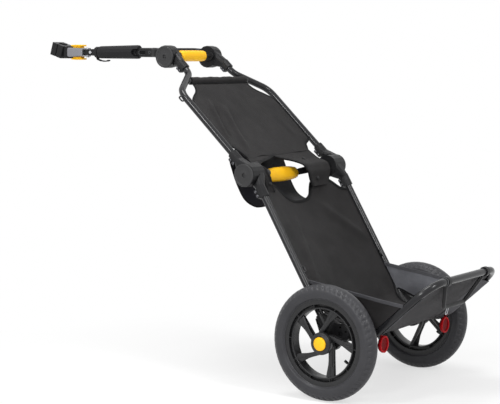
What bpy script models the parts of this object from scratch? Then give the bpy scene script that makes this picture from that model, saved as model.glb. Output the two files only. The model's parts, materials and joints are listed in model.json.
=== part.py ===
"""Bike cargo trailer: a folding two-wheeled frame that hangs on a bicycle's seat post.

Lengths are metres, +Z is up and +X points backwards, away from the bicycle. The frame's
design is laid out in a side view (x from the wheel axle, z from the floor) and moved so
that the origin is on the seat post's axis, in the middle of its clamp.
"""

import math

import bmesh
import bpy
from mathutils import Vector

# Frame tubes
TUBE_DIAMETER = 0.019
TUBE_WALL = 0.0016
CROSSBAR_DIAMETER = 0.016
FRAME_HALF_WIDTH = 0.211
LOWER_LEAN = 30.8
LOWER_LENGTH = 0.486
LOWER_OFFSET = 0.0165
UPPER_LEAN = 47.2
UPPER_LENGTH = 0.4665
UPPER_OFFSET = 0.005
TOP_OFFSET = 0.0192
NECK_HALF_WIDTH = 0.104
NECK_BEND_BELOW_TOP = 0.1595
NECK_END_BELOW_TOP = 0.0885
NECK_BEND_START = UPPER_LENGTH - NECK_BEND_BELOW_TOP
NECK_BEND_END = UPPER_LENGTH - NECK_END_BELOW_TOP
SHOULDER_RADIUS = 0.048
NECK_BEND_RADIUS = 0.034
CROSSBAR_BELOW_TOP = 0.1178
CROSSBAR_AT = UPPER_LENGTH - CROSSBAR_BELOW_TOP
BAR_END_SINK = 0.004
LOWER_RING_AT = 0.1975
UPPER_RING_AT = NECK_BEND_START - 0.020
RING_STAND_OFF = 0.0033
RING_WIDTH = 0.012
RING_LENGTH = 0.016
RING_ROD = 0.0032
RING_TILT = 60.0

# Wheels and their track
TYRE_WIDTH = 0.047
TYRE_HEIGHT = 0.0475
TYRE_WALL = 0.0045
BEAD_SEAT_DIAMETER = 0.203
TYRE_DIAMETER = BEAD_SEAT_DIAMETER + 2 * TYRE_HEIGHT
RIM_FLANGE = 0.010
RIM_FLANGE_DIAMETER = BEAD_SEAT_DIAMETER + 2 * RIM_FLANGE
RIM_WIDTH = 0.031
RIM_DEPTH = 0.0145
RIM_INNER_DIAMETER = BEAD_SEAT_DIAMETER - 2 * RIM_DEPTH
RIM_WALL = 0.0035
RIM_DROP = 0.004
RIM_GROOVE_DEPTH = 0.006
RIM_GROOVE_START = 0.0045
RIM_GROOVE_END = 0.011
RIM_EDGE = 0.0012
TYRE_ON_FLANGE = 0.0012
WHEEL_STAND_OFF = 0.037
TRACK = 2 * (FRAME_HALF_WIDTH + WHEEL_STAND_OFF)
HUB_FLANGE_DIAMETER = 0.058
HUB_BARREL_DIAMETER = 0.040
HUB_SHOULDER = 0.004
HUB_DISH = 0.002
HUB_FACE = 0.007
HUB_BACK = 0.015
HUB_NECK = 0.020
HUB_REACH_OUT = 0.026
HUB_REACH_IN = 0.0255
SPOKE_COUNT = 5
SPOKE_STATIONS = (0.0, 0.7, 1.0)
SPOKE_FACE = 0.013
SPOKE_FACE_AT_RIM = 0.021
SPOKE_WEB = 0.0060
SPOKE_FACE_THICKNESS = 0.0045
SPOKE_DEPTH = 0.021
SPOKE_BEVEL = 0.0015
SPOKE_ROOT = 0.002
PIN_DIAMETER = 0.012
PIN_HEAD_ROOM = 0.011
BUTTON_DIAMETER = 0.0345
BUTTON_PROUD = 0.0045
BUTTON_TRAVEL = 0.003
BUTTON_FIT = 0.0008
BUTTON_RECESS = 0.013
BUTTON_EDGE = 0.002
VALVE_DIAMETER = 0.0075
VALVE_LENGTH = 0.026
VALVE_WAIST = 0.78
VALVE_KNOB = 1.10
VALVE_MARKS = (0.45, 0.50, 0.66, 0.68)
VALVE_ANGLE = -34.0

# Axle brackets
BRACKET_DEPTH_IN = 0.015
BRACKET_TO_HUB = 0.0015
BRACKET_TUBE_START = 0.030
BRACKET_SLEEVE_END = 0.072
BRACKET_SHOULDER = 0.068
BRACKET_FOOT_RADIUS = 0.026
BRACKET_EAR_RADIUS = 0.025
BRACKET_BOSS_RADIUS = 0.0165
BRACKET_HOLE_CIRCLE = 0.0165
BRACKET_HOLE_RADIUS = 0.003
BRACKET_HOLE_ANGLES = (-60, 25, 95)
BRACKET_BOSS_IN = 0.012
PIN_DEPTH = 0.004

# Folding knuckles
KNUCKLE_RADIUS = 0.0315
KNUCKLE_INNER_FACE = FRAME_HALF_WIDTH - 0.0325
KNUCKLE_SPLIT = FRAME_HALF_WIDTH - 0.0061
KNUCKLE_OUTER_FACE = FRAME_HALF_WIDTH + 0.0190
KNUCKLE_OVERLAP = 0.001
KNUCKLE_CLEARANCE = 0.0025
KNUCKLE_INSET = 0.0006
NECK_SHARE = 0.94
NECK_FLAT = 0.3
NECK_INTO_SLEEVE = 0.012
SLEEVE_IN = 0.005
FLANGE_IN = 0.010
FLANGE_SHORT = 0.004
SCREW_SHARES = (0.22, 0.74)
CAP_THICKNESS = 0.0045
CAP_RADIUS = 0.0300
CAP_EDGE = 0.0013
CAP_RING = 0.0045
CAP_SINK = 0.0010
CAP_RECESS = 0.0055
PIVOT_DIAMETER = 0.012
PIVOT_HEAD_RADIUS = 0.0085
PIVOT_HEAD = 0.0045
SOCKET_RADIUS = 0.0135
SOCKET_START = 0.036
SOCKET_END = 0.074
FLANGE_HALF_WIDTH = 0.007
FLANGE_STAND_OFF = 0.0045
SCREW_RADIUS = 0.0032
SCREW_REACH = 0.0085
TOP_INNER_FACE = NECK_HALF_WIDTH - 0.0205
TOP_SPLIT = NECK_HALF_WIDTH - 0.0055
TOP_OUTER_FACE = NECK_HALF_WIDTH + 0.0095
TOP_SOCKET_START = 0.040
TOP_SOCKET_END = 0.070

# Release levers
LEVER_SIDE_PLAY = 0.0050
BARREL_DIAMETER = 0.026
BARREL_LENGTH = 0.0555
BARREL_TIP_RADIUS = 0.0100
BARREL_TAPER = 0.030
MID_GRIP_REACH = 0.040
MID_GRIP_DIRECTION = 199.0
MID_GRIP_LENGTH = 0.150
MID_GRIP_HEIGHT = 0.036
MID_GRIP_DEPTH = 0.024
MID_ARM_THICKNESS = 0.012
MID_ARM_PLAY = 0.0025
TOP_GRIP_REACH = 0.016
TOP_GRIP_DIRECTION = 8.0
TOP_GRIP_DIAMETER = 0.031
TOP_CRANK_THICKNESS = 0.005
TOP_GRIP_PLAY = 0.0042
TOP_GRIP_LENGTH = 2 * (TOP_INNER_FACE - LEVER_SIDE_PLAY - TOP_CRANK_THICKNESS - TOP_GRIP_PLAY)
LEVER_ROD_DIAMETER = 0.010
LEVER_CORNER = 0.3
MID_ARM_TALL = (0.018, 0.020, 0.018, 0.016, 0.012)
MID_ARM_SHARES = (0.0, 0.22, 0.80, 1.0, 1.18)
PILLOW_STATIONS = (-1.0, -0.93, -0.62, 0.0, 0.62, 0.93, 1.0)
PILLOW_SWELL = 0.30
PILLOW_END = 0.14
PILLOW_END_FROM = 0.9
TOP_CRANK_AT_PIVOT = 0.90
TOP_CRANK_AT_ROD = 0.78
TOP_GRIP_ENDS = ((0.62, 0.0), (0.86, 0.003), (0.96, 0.008))
TOP_GRIP_MIDDLE = 0.55

# Tow arm and hitch
ARM_RISE = 0.0115
YOKE_REACH = 0.091
YOKE_TIP = (-0.012, 0.008)
YOKE_SHOULDER = (-0.052, 0.012)
YOKE_DRAW = 0.004
YOKE_BENDS = (0.022, 0.018, 0.018, 0.022)
YOKE_BAR_WIDTH = 0.013
YOKE_BAR_TALL = 0.026
YOKE_ROOT_HALF_WIDTH = 0.022
NECK_LENGTH = 0.1175
NECK_STATIONS = ((-0.033, 1.9), (0.25, 1.12), (0.46, 1.0))
NECK_CORNER = 0.006
RECESS_REAR = 0.40
RECESS_FRONT = 0.20
YOKE_CORNER = 0.004
NECK_IN_GRIP = 0.0265
NECK_WIDTH = 0.016
NECK_TALL = 0.027
NECK_RECESS_RADIUS = 0.0075
NECK_WEB_HALF = 0.0045
NECK_BORE = 0.0044
GRIP_LENGTH = 0.153
GRIP_END_SIZES = (0.80, 0.94, 0.96, 0.86)
GRIP_HEIGHT_REAR = 0.041
GRIP_HEIGHT_FRONT = 0.037
GRIP_WIDTH = 0.034
GRIP_NOTCH_DEPTH = 0.0195
GRIP_NOTCH_RADIUS = 0.0105
ARM_TUBE_DIAMETER = 0.022
CAP_LENGTH = 0.013
CAP_WIDE = 0.031
CAP_EDGE_SHARE = 0.87
CAP_TALL = 0.034
CAP_EAR_RADIUS = 0.0095
CAP_EAR_IN = 0.0085
CAP_EAR_OUT = 0.0130
PLUG_RADIUS = 0.0090
TUBE_IN_CAP = 0.0086
HOOK_WIDTH = 0.013
HOOK_THICKNESS = 0.0034
HOOK_CORNER = 0.0012
HOOK_ROUTE = (
    (0.0055, -0.0120),
    (0.0075, -0.0205),
    (0.0190, -0.0245),
    (0.0330, -0.0262),
    (0.0450, -0.0255),
    (0.0500, -0.0235),
)
PIN_HEAD = 0.0022
PITCH_REACH = 0.011
HITCH_PIN_RADIUS = 0.0031
YAW_PIN_RADIUS = 0.0035
LINK_LENGTH = 0.022
LINK_HALF_HEIGHT = 0.0085
COUPLER_LENGTH = 0.066
COUPLER_EAR_OUT = 0.0128
COUPLER_STATIONS = ((0.0, 0.036, 0.028), (0.26, 0.034, 0.0275), (0.64, 0.030, 0.0255))
COUPLER_REAR = (0.026, 0.0250)
COUPLER_CORNER = 0.004
EAR_LIP = 0.002
POCKET_PLAY = 0.003
ADAPTER_SECTION = (0.038, 0.036, 0.004)
ADAPTER_SINK = 0.008
POCKET_MIDDLE = 0.0160
POCKET_WIDTH = 0.0176
POCKET_DEPTH = 0.0136
ADAPTER_GAP = 0.005
TONGUE_LENGTH = 0.0365
TONGUE_WIDTH = 0.0178
TONGUE_TALL = 0.0118
TONGUE_FIT = 0.0004
SQUEEZE_AT = 0.0305
SQUEEZE_HALF_LENGTH = 0.0155
SQUEEZE_FOOT = (0.0149, 0.0165, 0.0046, 0.0015)
SQUEEZE_NECK = (0.0175, 0.0150, 0.0040, 0.0010)
SQUEEZE_PAD = (0.0205, 0.0200, 0.0044, 0.0018)
SQUEEZE_PAD_FRONT = 0.006
SQUEEZE_PAD_REAR = 0.007
SQUEEZE_PAD_DROP = 0.0007
CLAMP_REACH = 0.037
CLAMP_RISE = 0.006
POST_DIAMETER = 0.0272
POST_LEAN = 17.0
CLAMP_DEPTH = 0.044
CLAMP_WIDE = 0.050
CLAMP_TALL = 0.038
CLAMP_CORNER = 0.003
CLAMP_BOLT_SPACING = 0.036
BOLT_HEAD_RADIUS = 0.0047
BOLT_HEAD = 0.0045
BOLT_RADIUS = 0.0027
BOLT_LENGTH = 0.030
CLAMP_SPLIT = 0.001
BOLT_SINK = 0.0006

# Fold-down deck and foot, placed from the wheel axle
DECK_PIVOT = (0.029, 0.021)
DECK_BEND = (0.097, 0.009)
DECK_LEAD = -10.0
DECK_TILT = 42.0
DECK_LENGTH = 0.229
DECK_HALF_WIDTH = FRAME_HALF_WIDTH - 0.018
DECK_BEND_RADIUS = 0.06
DECK_CORNER_RADIUS = 0.065
DECK_HINGE_RADIUS = 0.019
DECK_HINGE_LENGTH = 0.040
DECK_HINGE_IN = 0.0125
DECK_HINGE_OUT = 0.0065
HINGE_PLAY = 0.0005
DECK_PIN_RADIUS = 0.006
DECK_PIN_REACH = 0.006
DECK_PIN_SINK = 0.0036
DECK_TUBE_START = 0.012
FOOT_ROD = 0.010
FOOT_HALF_TOP = 0.108
FOOT_HALF_BOTTOM = 0.056
FOOT_REACH = 0.083
FOOT_DIRECTION = 246.0
FOOT_BEND_RADIUS = 0.016
FOOT_EYE_WIDTH = 0.014
FOOT_EYE_WALL = 0.0030
FLOOR_LEAD = 0.024
FLOOR_EASE = 0.045
FLOOR_LIFT = 0.006
FLOOR_NOTCH_PLAY = 0.002
REFLECTOR_DIAMETER = 0.043
REFLECTOR_PLACE = (0.121, -0.003)
REFLECTOR_INSET = 0.026
REFLECTOR_BACK = -0.004
REFLECTOR_FACE = 0.003
REFLECTOR_EDGE = ((0.002, -0.004), (0.0, 0.003), (0.002, 0.005), (0.005, 0.0035))
REFLECTOR_TAB_SECTION = (0.006, 0.010, 0.002)
REFLECTOR_TAB = ((0.0, 0.012), (0.010, 0.0235), (0.018, 0.0275))

# Fabric
FABRIC = 0.003
PANEL_EDGE = FRAME_HALF_WIDTH - TUBE_DIAMETER / 2 - 0.0004
PANEL_KNEE = 0.078
KNEE_RADIUS = 0.052
KNEE_TURN = 0.075
LOWER_SAG = 0.039
SAG_AT_KNEE = 0.25
LOWER_TOP = 0.070
EAR_RISE = 0.038
EAR_FALL = 0.052
SCOOP_HALF_WIDTH = 0.064
SCOOP_SHOULDER = 0.020
EAR_FALL_START = 0.145
KNEE_DRAW_IN = 0.115
UPPER_SAG = 0.008
ARCH_TOP = 0.0650
ARCH_FLAT = 0.078
ARCH_HALF_WIDTH = 0.142
TAB_END = 0.024
TAB_CORNER = 0.152
SIDE_START = 0.081
NECK_SCOOP = 0.0867
NECK_SCOOP_EDGE = 0.024
NECK_SCOOP_LENGTH = 0.045
GUARD_HALF_WIDTH = 0.130
GUARD_WAIST = 0.012
GUARD_STRAIGHT = 0.4
GUARD_START = 0.114
GUARD_END = 0.081
GUARD_LOOP = (
    (-0.118, 0.039),
    (-0.108, -0.001),
    (-0.091, -0.040),
    (-0.069, -0.074),
    (-0.042, -0.090),
    (-0.016, -0.092),
)
GUSSET_THICKNESS = 0.0022
GUSSET_LIFT = 0.78
GUSSET_ON_TUBE = (0.1665, 0.0860)
GUSSET_ON_DECK = (0.035, 0.138)
GUSSET_LOWER_EDGE = ((-0.022, 0.070), (0.020, 0.054), (0.070, 0.0475))
GUSSET_HEM = ((0.120, 0.117), (0.020, 0.132))

# Clearances, small edges and facets
GAP = 0.0003
FIT = 0.0004
PAST = 0.020
CHAMFER = 0.0015
ROUND = 12
WHEEL_STEPS = 20
TUBE_SIDES = 10
DECK_ARC_STEPS = 2


# Side-view layout


def flat(x, z):
    return Vector((x, z))


def heading(degrees):
    angle = math.radians(degrees)
    return flat(math.cos(angle), math.sin(angle))


AXLE_HEIGHT = TYRE_DIAMETER / 2
AXLE = flat(0.0, AXLE_HEIGHT)
LOWER_UP = heading(90 + LOWER_LEAN)
LOWER_FRONT = heading(180 + LOWER_LEAN)
UPPER_UP = heading(90 + UPPER_LEAN)
UPPER_REAR = heading(UPPER_LEAN)
MID_PIVOT = AXLE + LOWER_UP * LOWER_LENGTH + LOWER_FRONT * LOWER_OFFSET
UPPER_LINE = MID_PIVOT + UPPER_REAR * UPPER_OFFSET
TOP_PIVOT = UPPER_LINE + UPPER_UP * UPPER_LENGTH - UPPER_REAR * TOP_OFFSET
DECK_HINGE = AXLE + flat(*DECK_PIVOT)
DECK_KNEE = AXLE + flat(*DECK_BEND)
DECK_FORE = heading(DECK_LEAD)
DECK_ALONG = heading(DECK_TILT)
DECK_END = DECK_KNEE + DECK_ALONG * DECK_LENGTH
TUBE_RADIUS = TUBE_DIAMETER / 2
ARM_HEIGHT = TOP_PIVOT[1] + ARM_RISE
YOKE_ROOT_X = TOP_PIVOT[0] - YOKE_REACH
NECK_END_X = YOKE_ROOT_X - NECK_LENGTH
GRIP_REAR_X = NECK_END_X + NECK_IN_GRIP
GRIP_FRONT_X = GRIP_REAR_X - GRIP_LENGTH
CAP_FRONT_X = GRIP_FRONT_X - CAP_LENGTH
PITCH_X = CAP_FRONT_X - PITCH_REACH
YAW_X = PITCH_X - LINK_LENGTH
COUPLER_FRONT_X = YAW_X - COUPLER_LENGTH
SQUEEZE_X = COUPLER_FRONT_X + SQUEEZE_AT
TONGUE_END_X = COUPLER_FRONT_X + TONGUE_LENGTH
CLAMP_X = COUPLER_FRONT_X - CLAMP_REACH
CLAMP_HEIGHT = ARM_HEIGHT + CLAMP_RISE
ORIGIN = Vector((CLAMP_X, 0.0, CLAMP_HEIGHT))
ACROSS = Vector((0, 1, 0))
UP = Vector((0, 0, 1))


def at(point, y=0.0):
    """A side-view point and a distance across, as a place in the part's own frame."""
    return Vector((point[0], y, point[1])) - ORIGIN


def along(direction):
    return Vector((direction[0], 0.0, direction[1]))


# Materials and objects

FINISHES = {
    "frame_black": ((0.020, 0.021, 0.023), 0.32, 0.55),
    "moulded_black": ((0.028, 0.029, 0.031), 0.52, 0.0),
    "moulded_grey": ((0.075, 0.077, 0.080), 0.48, 0.0),
    "grip_black": ((0.030, 0.031, 0.033), 0.62, 0.0),
    "release_yellow": ((0.90, 0.50, 0.03), 0.42, 0.0),
    "fabric_black": ((0.022, 0.022, 0.024), 0.88, 0.0),
    "fabric_grey": ((0.085, 0.085, 0.090), 0.88, 0.0),
    "tyre_rubber": ((0.030, 0.030, 0.032), 0.70, 0.0),
    "steel": ((0.55, 0.56, 0.58), 0.30, 1.0),
    "coupler_silver": ((0.42, 0.42, 0.45), 0.40, 0.8),
    "reflector_red": ((0.62, 0.02, 0.03), 0.22, 0.0),
}
NEARLY_PARALLEL = 0.98
SMOOTH_ANGLE = math.radians(38)


def clear_scene():
    for obj in list(bpy.data.objects):
        bpy.data.objects.remove(obj, do_unlink=True)


def finish_of(name):
    material = bpy.data.materials.get(name)
    if material:
        return material
    colour, roughness, metallic = FINISHES[name]
    material = bpy.data.materials.new(name)
    material.use_nodes = True
    shader = material.node_tree.nodes["Principled BSDF"]
    shader.inputs["Base Color"].default_value = (*colour, 1.0)
    shader.inputs["Roughness"].default_value = roughness
    shader.inputs["Metallic"].default_value = metallic
    material.diffuse_color = (*colour, 1.0)
    return material


def joint_empty(name, place):
    empty = bpy.data.objects.new(name, None)
    empty.location = place
    empty.empty_display_size = TUBE_DIAMETER
    bpy.context.scene.collection.objects.link(empty)
    return empty


def add_object(name, bm, finish=None, carrier=None):
    """Makes an object of a closed bmesh; without a finish it is a cutter or a tool."""
    bmesh.ops.recalc_face_normals(bm, faces=bm.faces)
    start = carrier.location if carrier else Vector((0, 0, 0))
    bmesh.ops.translate(bm, verts=bm.verts, vec=-start)
    mesh = bpy.data.meshes.new(name)
    bm.to_mesh(mesh)
    bm.free()
    obj = bpy.data.objects.new(name, mesh)
    bpy.context.scene.collection.objects.link(obj)
    if carrier:
        obj.parent = carrier
    if finish:
        mesh.materials.append(finish_of(finish))
        mesh.shade_smooth()
        mesh.set_sharp_from_angle(angle=SMOOTH_ANGLE)
    else:
        obj.hide_render = True
        obj.display_type = "WIRE"
    return obj


def boolean(obj, operation, tool):
    modifier = obj.modifiers.new(tool.name, "BOOLEAN")
    modifier.operation = operation
    modifier.object = tool
    return obj


def cut(obj, *tools):
    for tool in tools:
        boolean(obj, "DIFFERENCE", tool)
    return obj


def weld(obj, *tools):
    for tool in tools:
        boolean(obj, "UNION", tool)
    return obj


# Shapes


def frame_of(axis, hint=Vector((0, 0, 1))):
    """Two directions square to an axis; the first is as near to the hint as it can be."""
    axis = axis.normalized()
    if abs(axis.dot(hint)) > NEARLY_PARALLEL:
        hint = Vector((1, 0, 0))
    first = (hint - axis * hint.dot(axis)).normalized()
    return first, axis.cross(first)


def bridge(bm, rings, closed_ring=False, caps=True):
    """Faces between rings of vertices, with flat caps at the two ends."""
    last = len(rings) if closed_ring else len(rings) - 1
    for i in range(last):
        near, far = rings[i], rings[(i + 1) % len(rings)]
        for k in range(len(near)):
            n = (k + 1) % len(near)
            bm.faces.new((near[k], near[n], far[n], far[k]))
    if caps and not closed_ring:
        bm.faces.new(list(reversed(rings[0])))
        bm.faces.new(rings[-1])


def ring_at(bm, centre, first, second, radius, sides):
    angles = [2 * math.pi * k / sides for k in range(sides)]
    return [
        bm.verts.new(centre + first * (radius * math.cos(a)) + second * (radius * math.sin(a)))
        for a in angles
    ]


def lathe(profile, centre, axis, steps=ROUND, start=Vector((0, 0, 1))):
    """Turns a closed profile of (radius, distance along the axis) points about the axis."""
    bm = bmesh.new()
    first, _ = frame_of(axis, start)
    axis = axis.normalized()
    points = [bm.verts.new(centre + first * r + axis * h) for r, h in profile]
    edges = [
        bm.edges.new((points[i], points[(i + 1) % len(points)]))
        for i in range(len(points))
        if profile[i][0] > 0 or profile[(i + 1) % len(points)][0] > 0
    ]
    bmesh.ops.spin(
        bm,
        geom=points + edges,
        cent=centre,
        axis=axis,
        angle=2 * math.pi,
        steps=steps,
        use_merge=True,
    )
    bmesh.ops.remove_doubles(bm, verts=bm.verts, dist=1e-6)
    return bm


def cylinder(start, end, radius, sides=ROUND):
    axis = end - start
    first, second = frame_of(axis)
    bm = bmesh.new()
    bridge(bm, [ring_at(bm, p, first, second, radius, sides) for p in (start, end)])
    return bm


def across_cylinder(point, low_y, high_y, radius, sides=ROUND):
    return cylinder(at(point, low_y), at(point, high_y), radius, sides)


def pipe(path, radius, wall=0.0, sides=TUBE_SIDES):
    """A round bar or, with a wall, an open tube along a path."""
    bm = bmesh.new()
    outer, inner = [], []
    first = None
    for i, point in enumerate(path):
        before = path[max(i - 1, 0)]
        after = path[min(i + 1, len(path) - 1)]
        direction = (after - before).normalized()
        if first is None:
            first, second = frame_of(direction)
        first = (first - direction * first.dot(direction)).normalized()
        second = direction.cross(first)
        outer.append(ring_at(bm, point, first, second, radius, sides))
        if wall:
            inner.append(ring_at(bm, point, first, second, radius - wall, sides))
    if wall:
        bridge(bm, outer + list(reversed(inner)), closed_ring=True)
    else:
        bridge(bm, outer)
    return bm


def sweep(path, sections):
    """A closed bar along a path; each section is a list of offset vectors in space."""
    bm = bmesh.new()
    rings = [
        [bm.verts.new(point + offset) for offset in section]
        for point, section in zip(path, sections)
    ]
    bridge(bm, rings)
    return bm


def rounded_box(width, height, radius, across, up, corner_steps=2):
    """Offsets of a rounded rectangle, for sweep or prism."""
    offsets = []
    for quarter, (sx, sy) in enumerate(((1, 1), (-1, 1), (-1, -1), (1, -1))):
        for step in range(corner_steps + 1):
            angle = math.pi / 2 * (quarter + step / corner_steps)
            x = sx * (width / 2 - radius) + radius * math.cos(angle)
            y = sy * (height / 2 - radius) + radius * math.sin(angle)
            offsets.append(across * x + up * y)
    return offsets


def ellipse(width, height, across, up, sides):
    return [
        across * (width / 2 * math.cos(2 * math.pi * k / sides))
        + up * (height / 2 * math.sin(2 * math.pi * k / sides))
        for k in range(sides)
    ]


def plate(outline, low_y, high_y):
    """A flat plate: a side-view outline between two distances across."""
    bm = bmesh.new()
    rings = [[bm.verts.new(at(p, y)) for p in outline] for y in (low_y, high_y)]
    bridge(bm, rings)
    return bm


def hull(points):
    bm = bmesh.new()
    for point in points:
        bm.verts.new(point)
    found = bmesh.ops.convex_hull(bm, input=bm.verts)
    unused = [v for v in found["geom_interior"] if isinstance(v, bmesh.types.BMVert)]
    bmesh.ops.delete(bm, geom=unused, context="VERTS")
    return bm


def rounded_path(corners, radii, steps=3):
    """A path of straight runs whose inner corners are arcs of the given radii."""
    path = [corners[0]]
    for i in range(1, len(corners) - 1):
        corner = corners[i]
        back = (corners[i - 1] - corner).normalized()
        ahead = (corners[i + 1] - corner).normalized()
        half = math.acos(max(-1.0, min(1.0, back.dot(ahead)))) / 2
        radius = radii[i - 1]
        reach = radius / math.tan(half)
        centre = corner + (back + ahead).normalized() * (radius / math.sin(half))
        start = corner + back * reach - centre
        end = corner + ahead * reach - centre
        sweep_angle = start.angle(end)
        for k in range(steps + 1):
            share = k / steps
            a = math.sin((1 - share) * sweep_angle) / math.sin(sweep_angle)
            b = math.sin(share * sweep_angle) / math.sin(sweep_angle)
            path.append(centre + start * a + end * b)
    path.append(corners[-1])
    return path


def smooth_step(value):
    value = max(0.0, min(1.0, value))
    return value * value * (3 - 2 * value)


def sheet(surface, columns, rows, thickness):
    """A closed sheet of even thickness on surface(u, v), with u and v from 0 to 1."""
    bm = bmesh.new()
    small = 1e-3
    faces = {1: {}, -1: {}}
    for i in range(columns + 1):
        for j in range(rows + 1):
            u, v = i / columns, j / rows
            along_u = surface(min(u + small, 1), v) - surface(max(u - small, 0), v)
            along_v = surface(u, min(v + small, 1)) - surface(u, max(v - small, 0))
            normal = along_u.cross(along_v).normalized()
            for side in faces:
                place = surface(u, v) + normal * (side * thickness / 2)
                faces[side][i, j] = bm.verts.new(place)
    for side, grid in faces.items():
        for i in range(columns):
            for j in range(rows):
                bm.faces.new(
                    (grid[i, j], grid[i + 1, j], grid[i + 1, j + 1], grid[i, j + 1])
                )
    edge = [(i, 0) for i in range(columns)]
    edge += [(columns, j) for j in range(rows)]
    edge += [(i, rows) for i in range(columns, 0, -1)]
    edge += [(0, j) for j in range(rows, 0, -1)]
    for k, here in enumerate(edge):
        there = edge[(k + 1) % len(edge)]
        bm.faces.new(
            (faces[1][here], faces[1][there], faces[-1][there], faces[-1][here])
        )
    return bm


def circle_outline(centre, radius, steps, start=0.0, end=360.0):
    full = abs(end - start) >= 360
    count = steps if full else steps + 1
    return [
        centre + heading(start + (end - start) * k / steps) * radius for k in range(count)
    ]


SIDES = (("left", -1), ("right", 1))


# Frame tubes


def tie_ring(name, place, carrier):
    """A small closed loop on the outside of a tube, for a strap."""
    tilt = along(heading(RING_TILT))
    loop = [place + ring for ring in ellipse(RING_WIDTH, RING_LENGTH, ACROSS, tilt, 8)]
    bm = bmesh.new()
    rings = []
    for k, point in enumerate(loop):
        outward = (point - place).normalized()
        side = (loop[(k + 1) % len(loop)] - loop[k - 1]).normalized().cross(outward)
        rings.append(ring_at(bm, point, outward, side, RING_ROD / 2, 5))
    bridge(bm, rings, closed_ring=True)
    return add_object(name, bm, carrier=carrier)


def ring_distance():
    return FRAME_HALF_WIDTH + TUBE_RADIUS + RING_STAND_OFF


def lower_tubes(carrier):
    low = AXLE + LOWER_UP * (BRACKET_TUBE_START + FIT)
    high = AXLE + LOWER_UP * (LOWER_LENGTH - SOCKET_START - FIT)
    for name, side in SIDES:
        y = side * FRAME_HALF_WIDTH
        tube = add_object(
            f"{name}_lower_tube",
            pipe([at(low, y), at(high, y)], TUBE_RADIUS, TUBE_WALL),
            "frame_black",
            carrier,
        )
        place = at(AXLE + LOWER_UP * LOWER_RING_AT, side * ring_distance())
        weld(tube, tie_ring(f"{name}_lower_ring", place, carrier))


def upper_path(side):
    """The upper tube's centre line: straight, then drawn in to the neck."""
    marks = (
        (SOCKET_START + FIT, FRAME_HALF_WIDTH),
        (NECK_BEND_START, FRAME_HALF_WIDTH),
        (NECK_BEND_END, NECK_HALF_WIDTH),
        (UPPER_LENGTH - TOP_SOCKET_START - FIT, NECK_HALF_WIDTH),
    )
    corners = [at(UPPER_LINE + UPPER_UP * s, side * y) for s, y in marks]
    return rounded_path(corners, (SHOULDER_RADIUS, NECK_BEND_RADIUS))


def upper_tubes(carrier):
    cutters = []
    for name, side in SIDES:
        path = upper_path(side)
        tube = add_object(
            f"{name}_upper_tube", pipe(path, TUBE_RADIUS, TUBE_WALL), "frame_black", carrier
        )
        place = at(UPPER_LINE + UPPER_UP * UPPER_RING_AT, side * ring_distance())
        weld(tube, tie_ring(f"{name}_upper_ring", place, carrier))
        cutters.append(
            add_object(f"{name}_bar_cope", pipe(path, TUBE_RADIUS + GAP), carrier=carrier)
        )
    ends = [at(UPPER_LINE + UPPER_UP * CROSSBAR_AT, side * crossbar_end()) for _, side in SIDES]
    bar = add_object(
        "upper_crossbar", pipe(ends, CROSSBAR_DIAMETER / 2), "frame_black", carrier
    )
    cut(bar, *cutters)


def neck_half_width(s):
    """How far out the upper tube's centre line is, a distance s from the mid pivot."""
    share = (s - NECK_BEND_START) / (NECK_BEND_END - NECK_BEND_START)
    share = max(0.0, min(1.0, share))
    return FRAME_HALF_WIDTH + share * (NECK_HALF_WIDTH - FRAME_HALF_WIDTH)


def crossbar_end():
    return neck_half_width(CROSSBAR_AT) - BAR_END_SINK


# Folding knuckles


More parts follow.
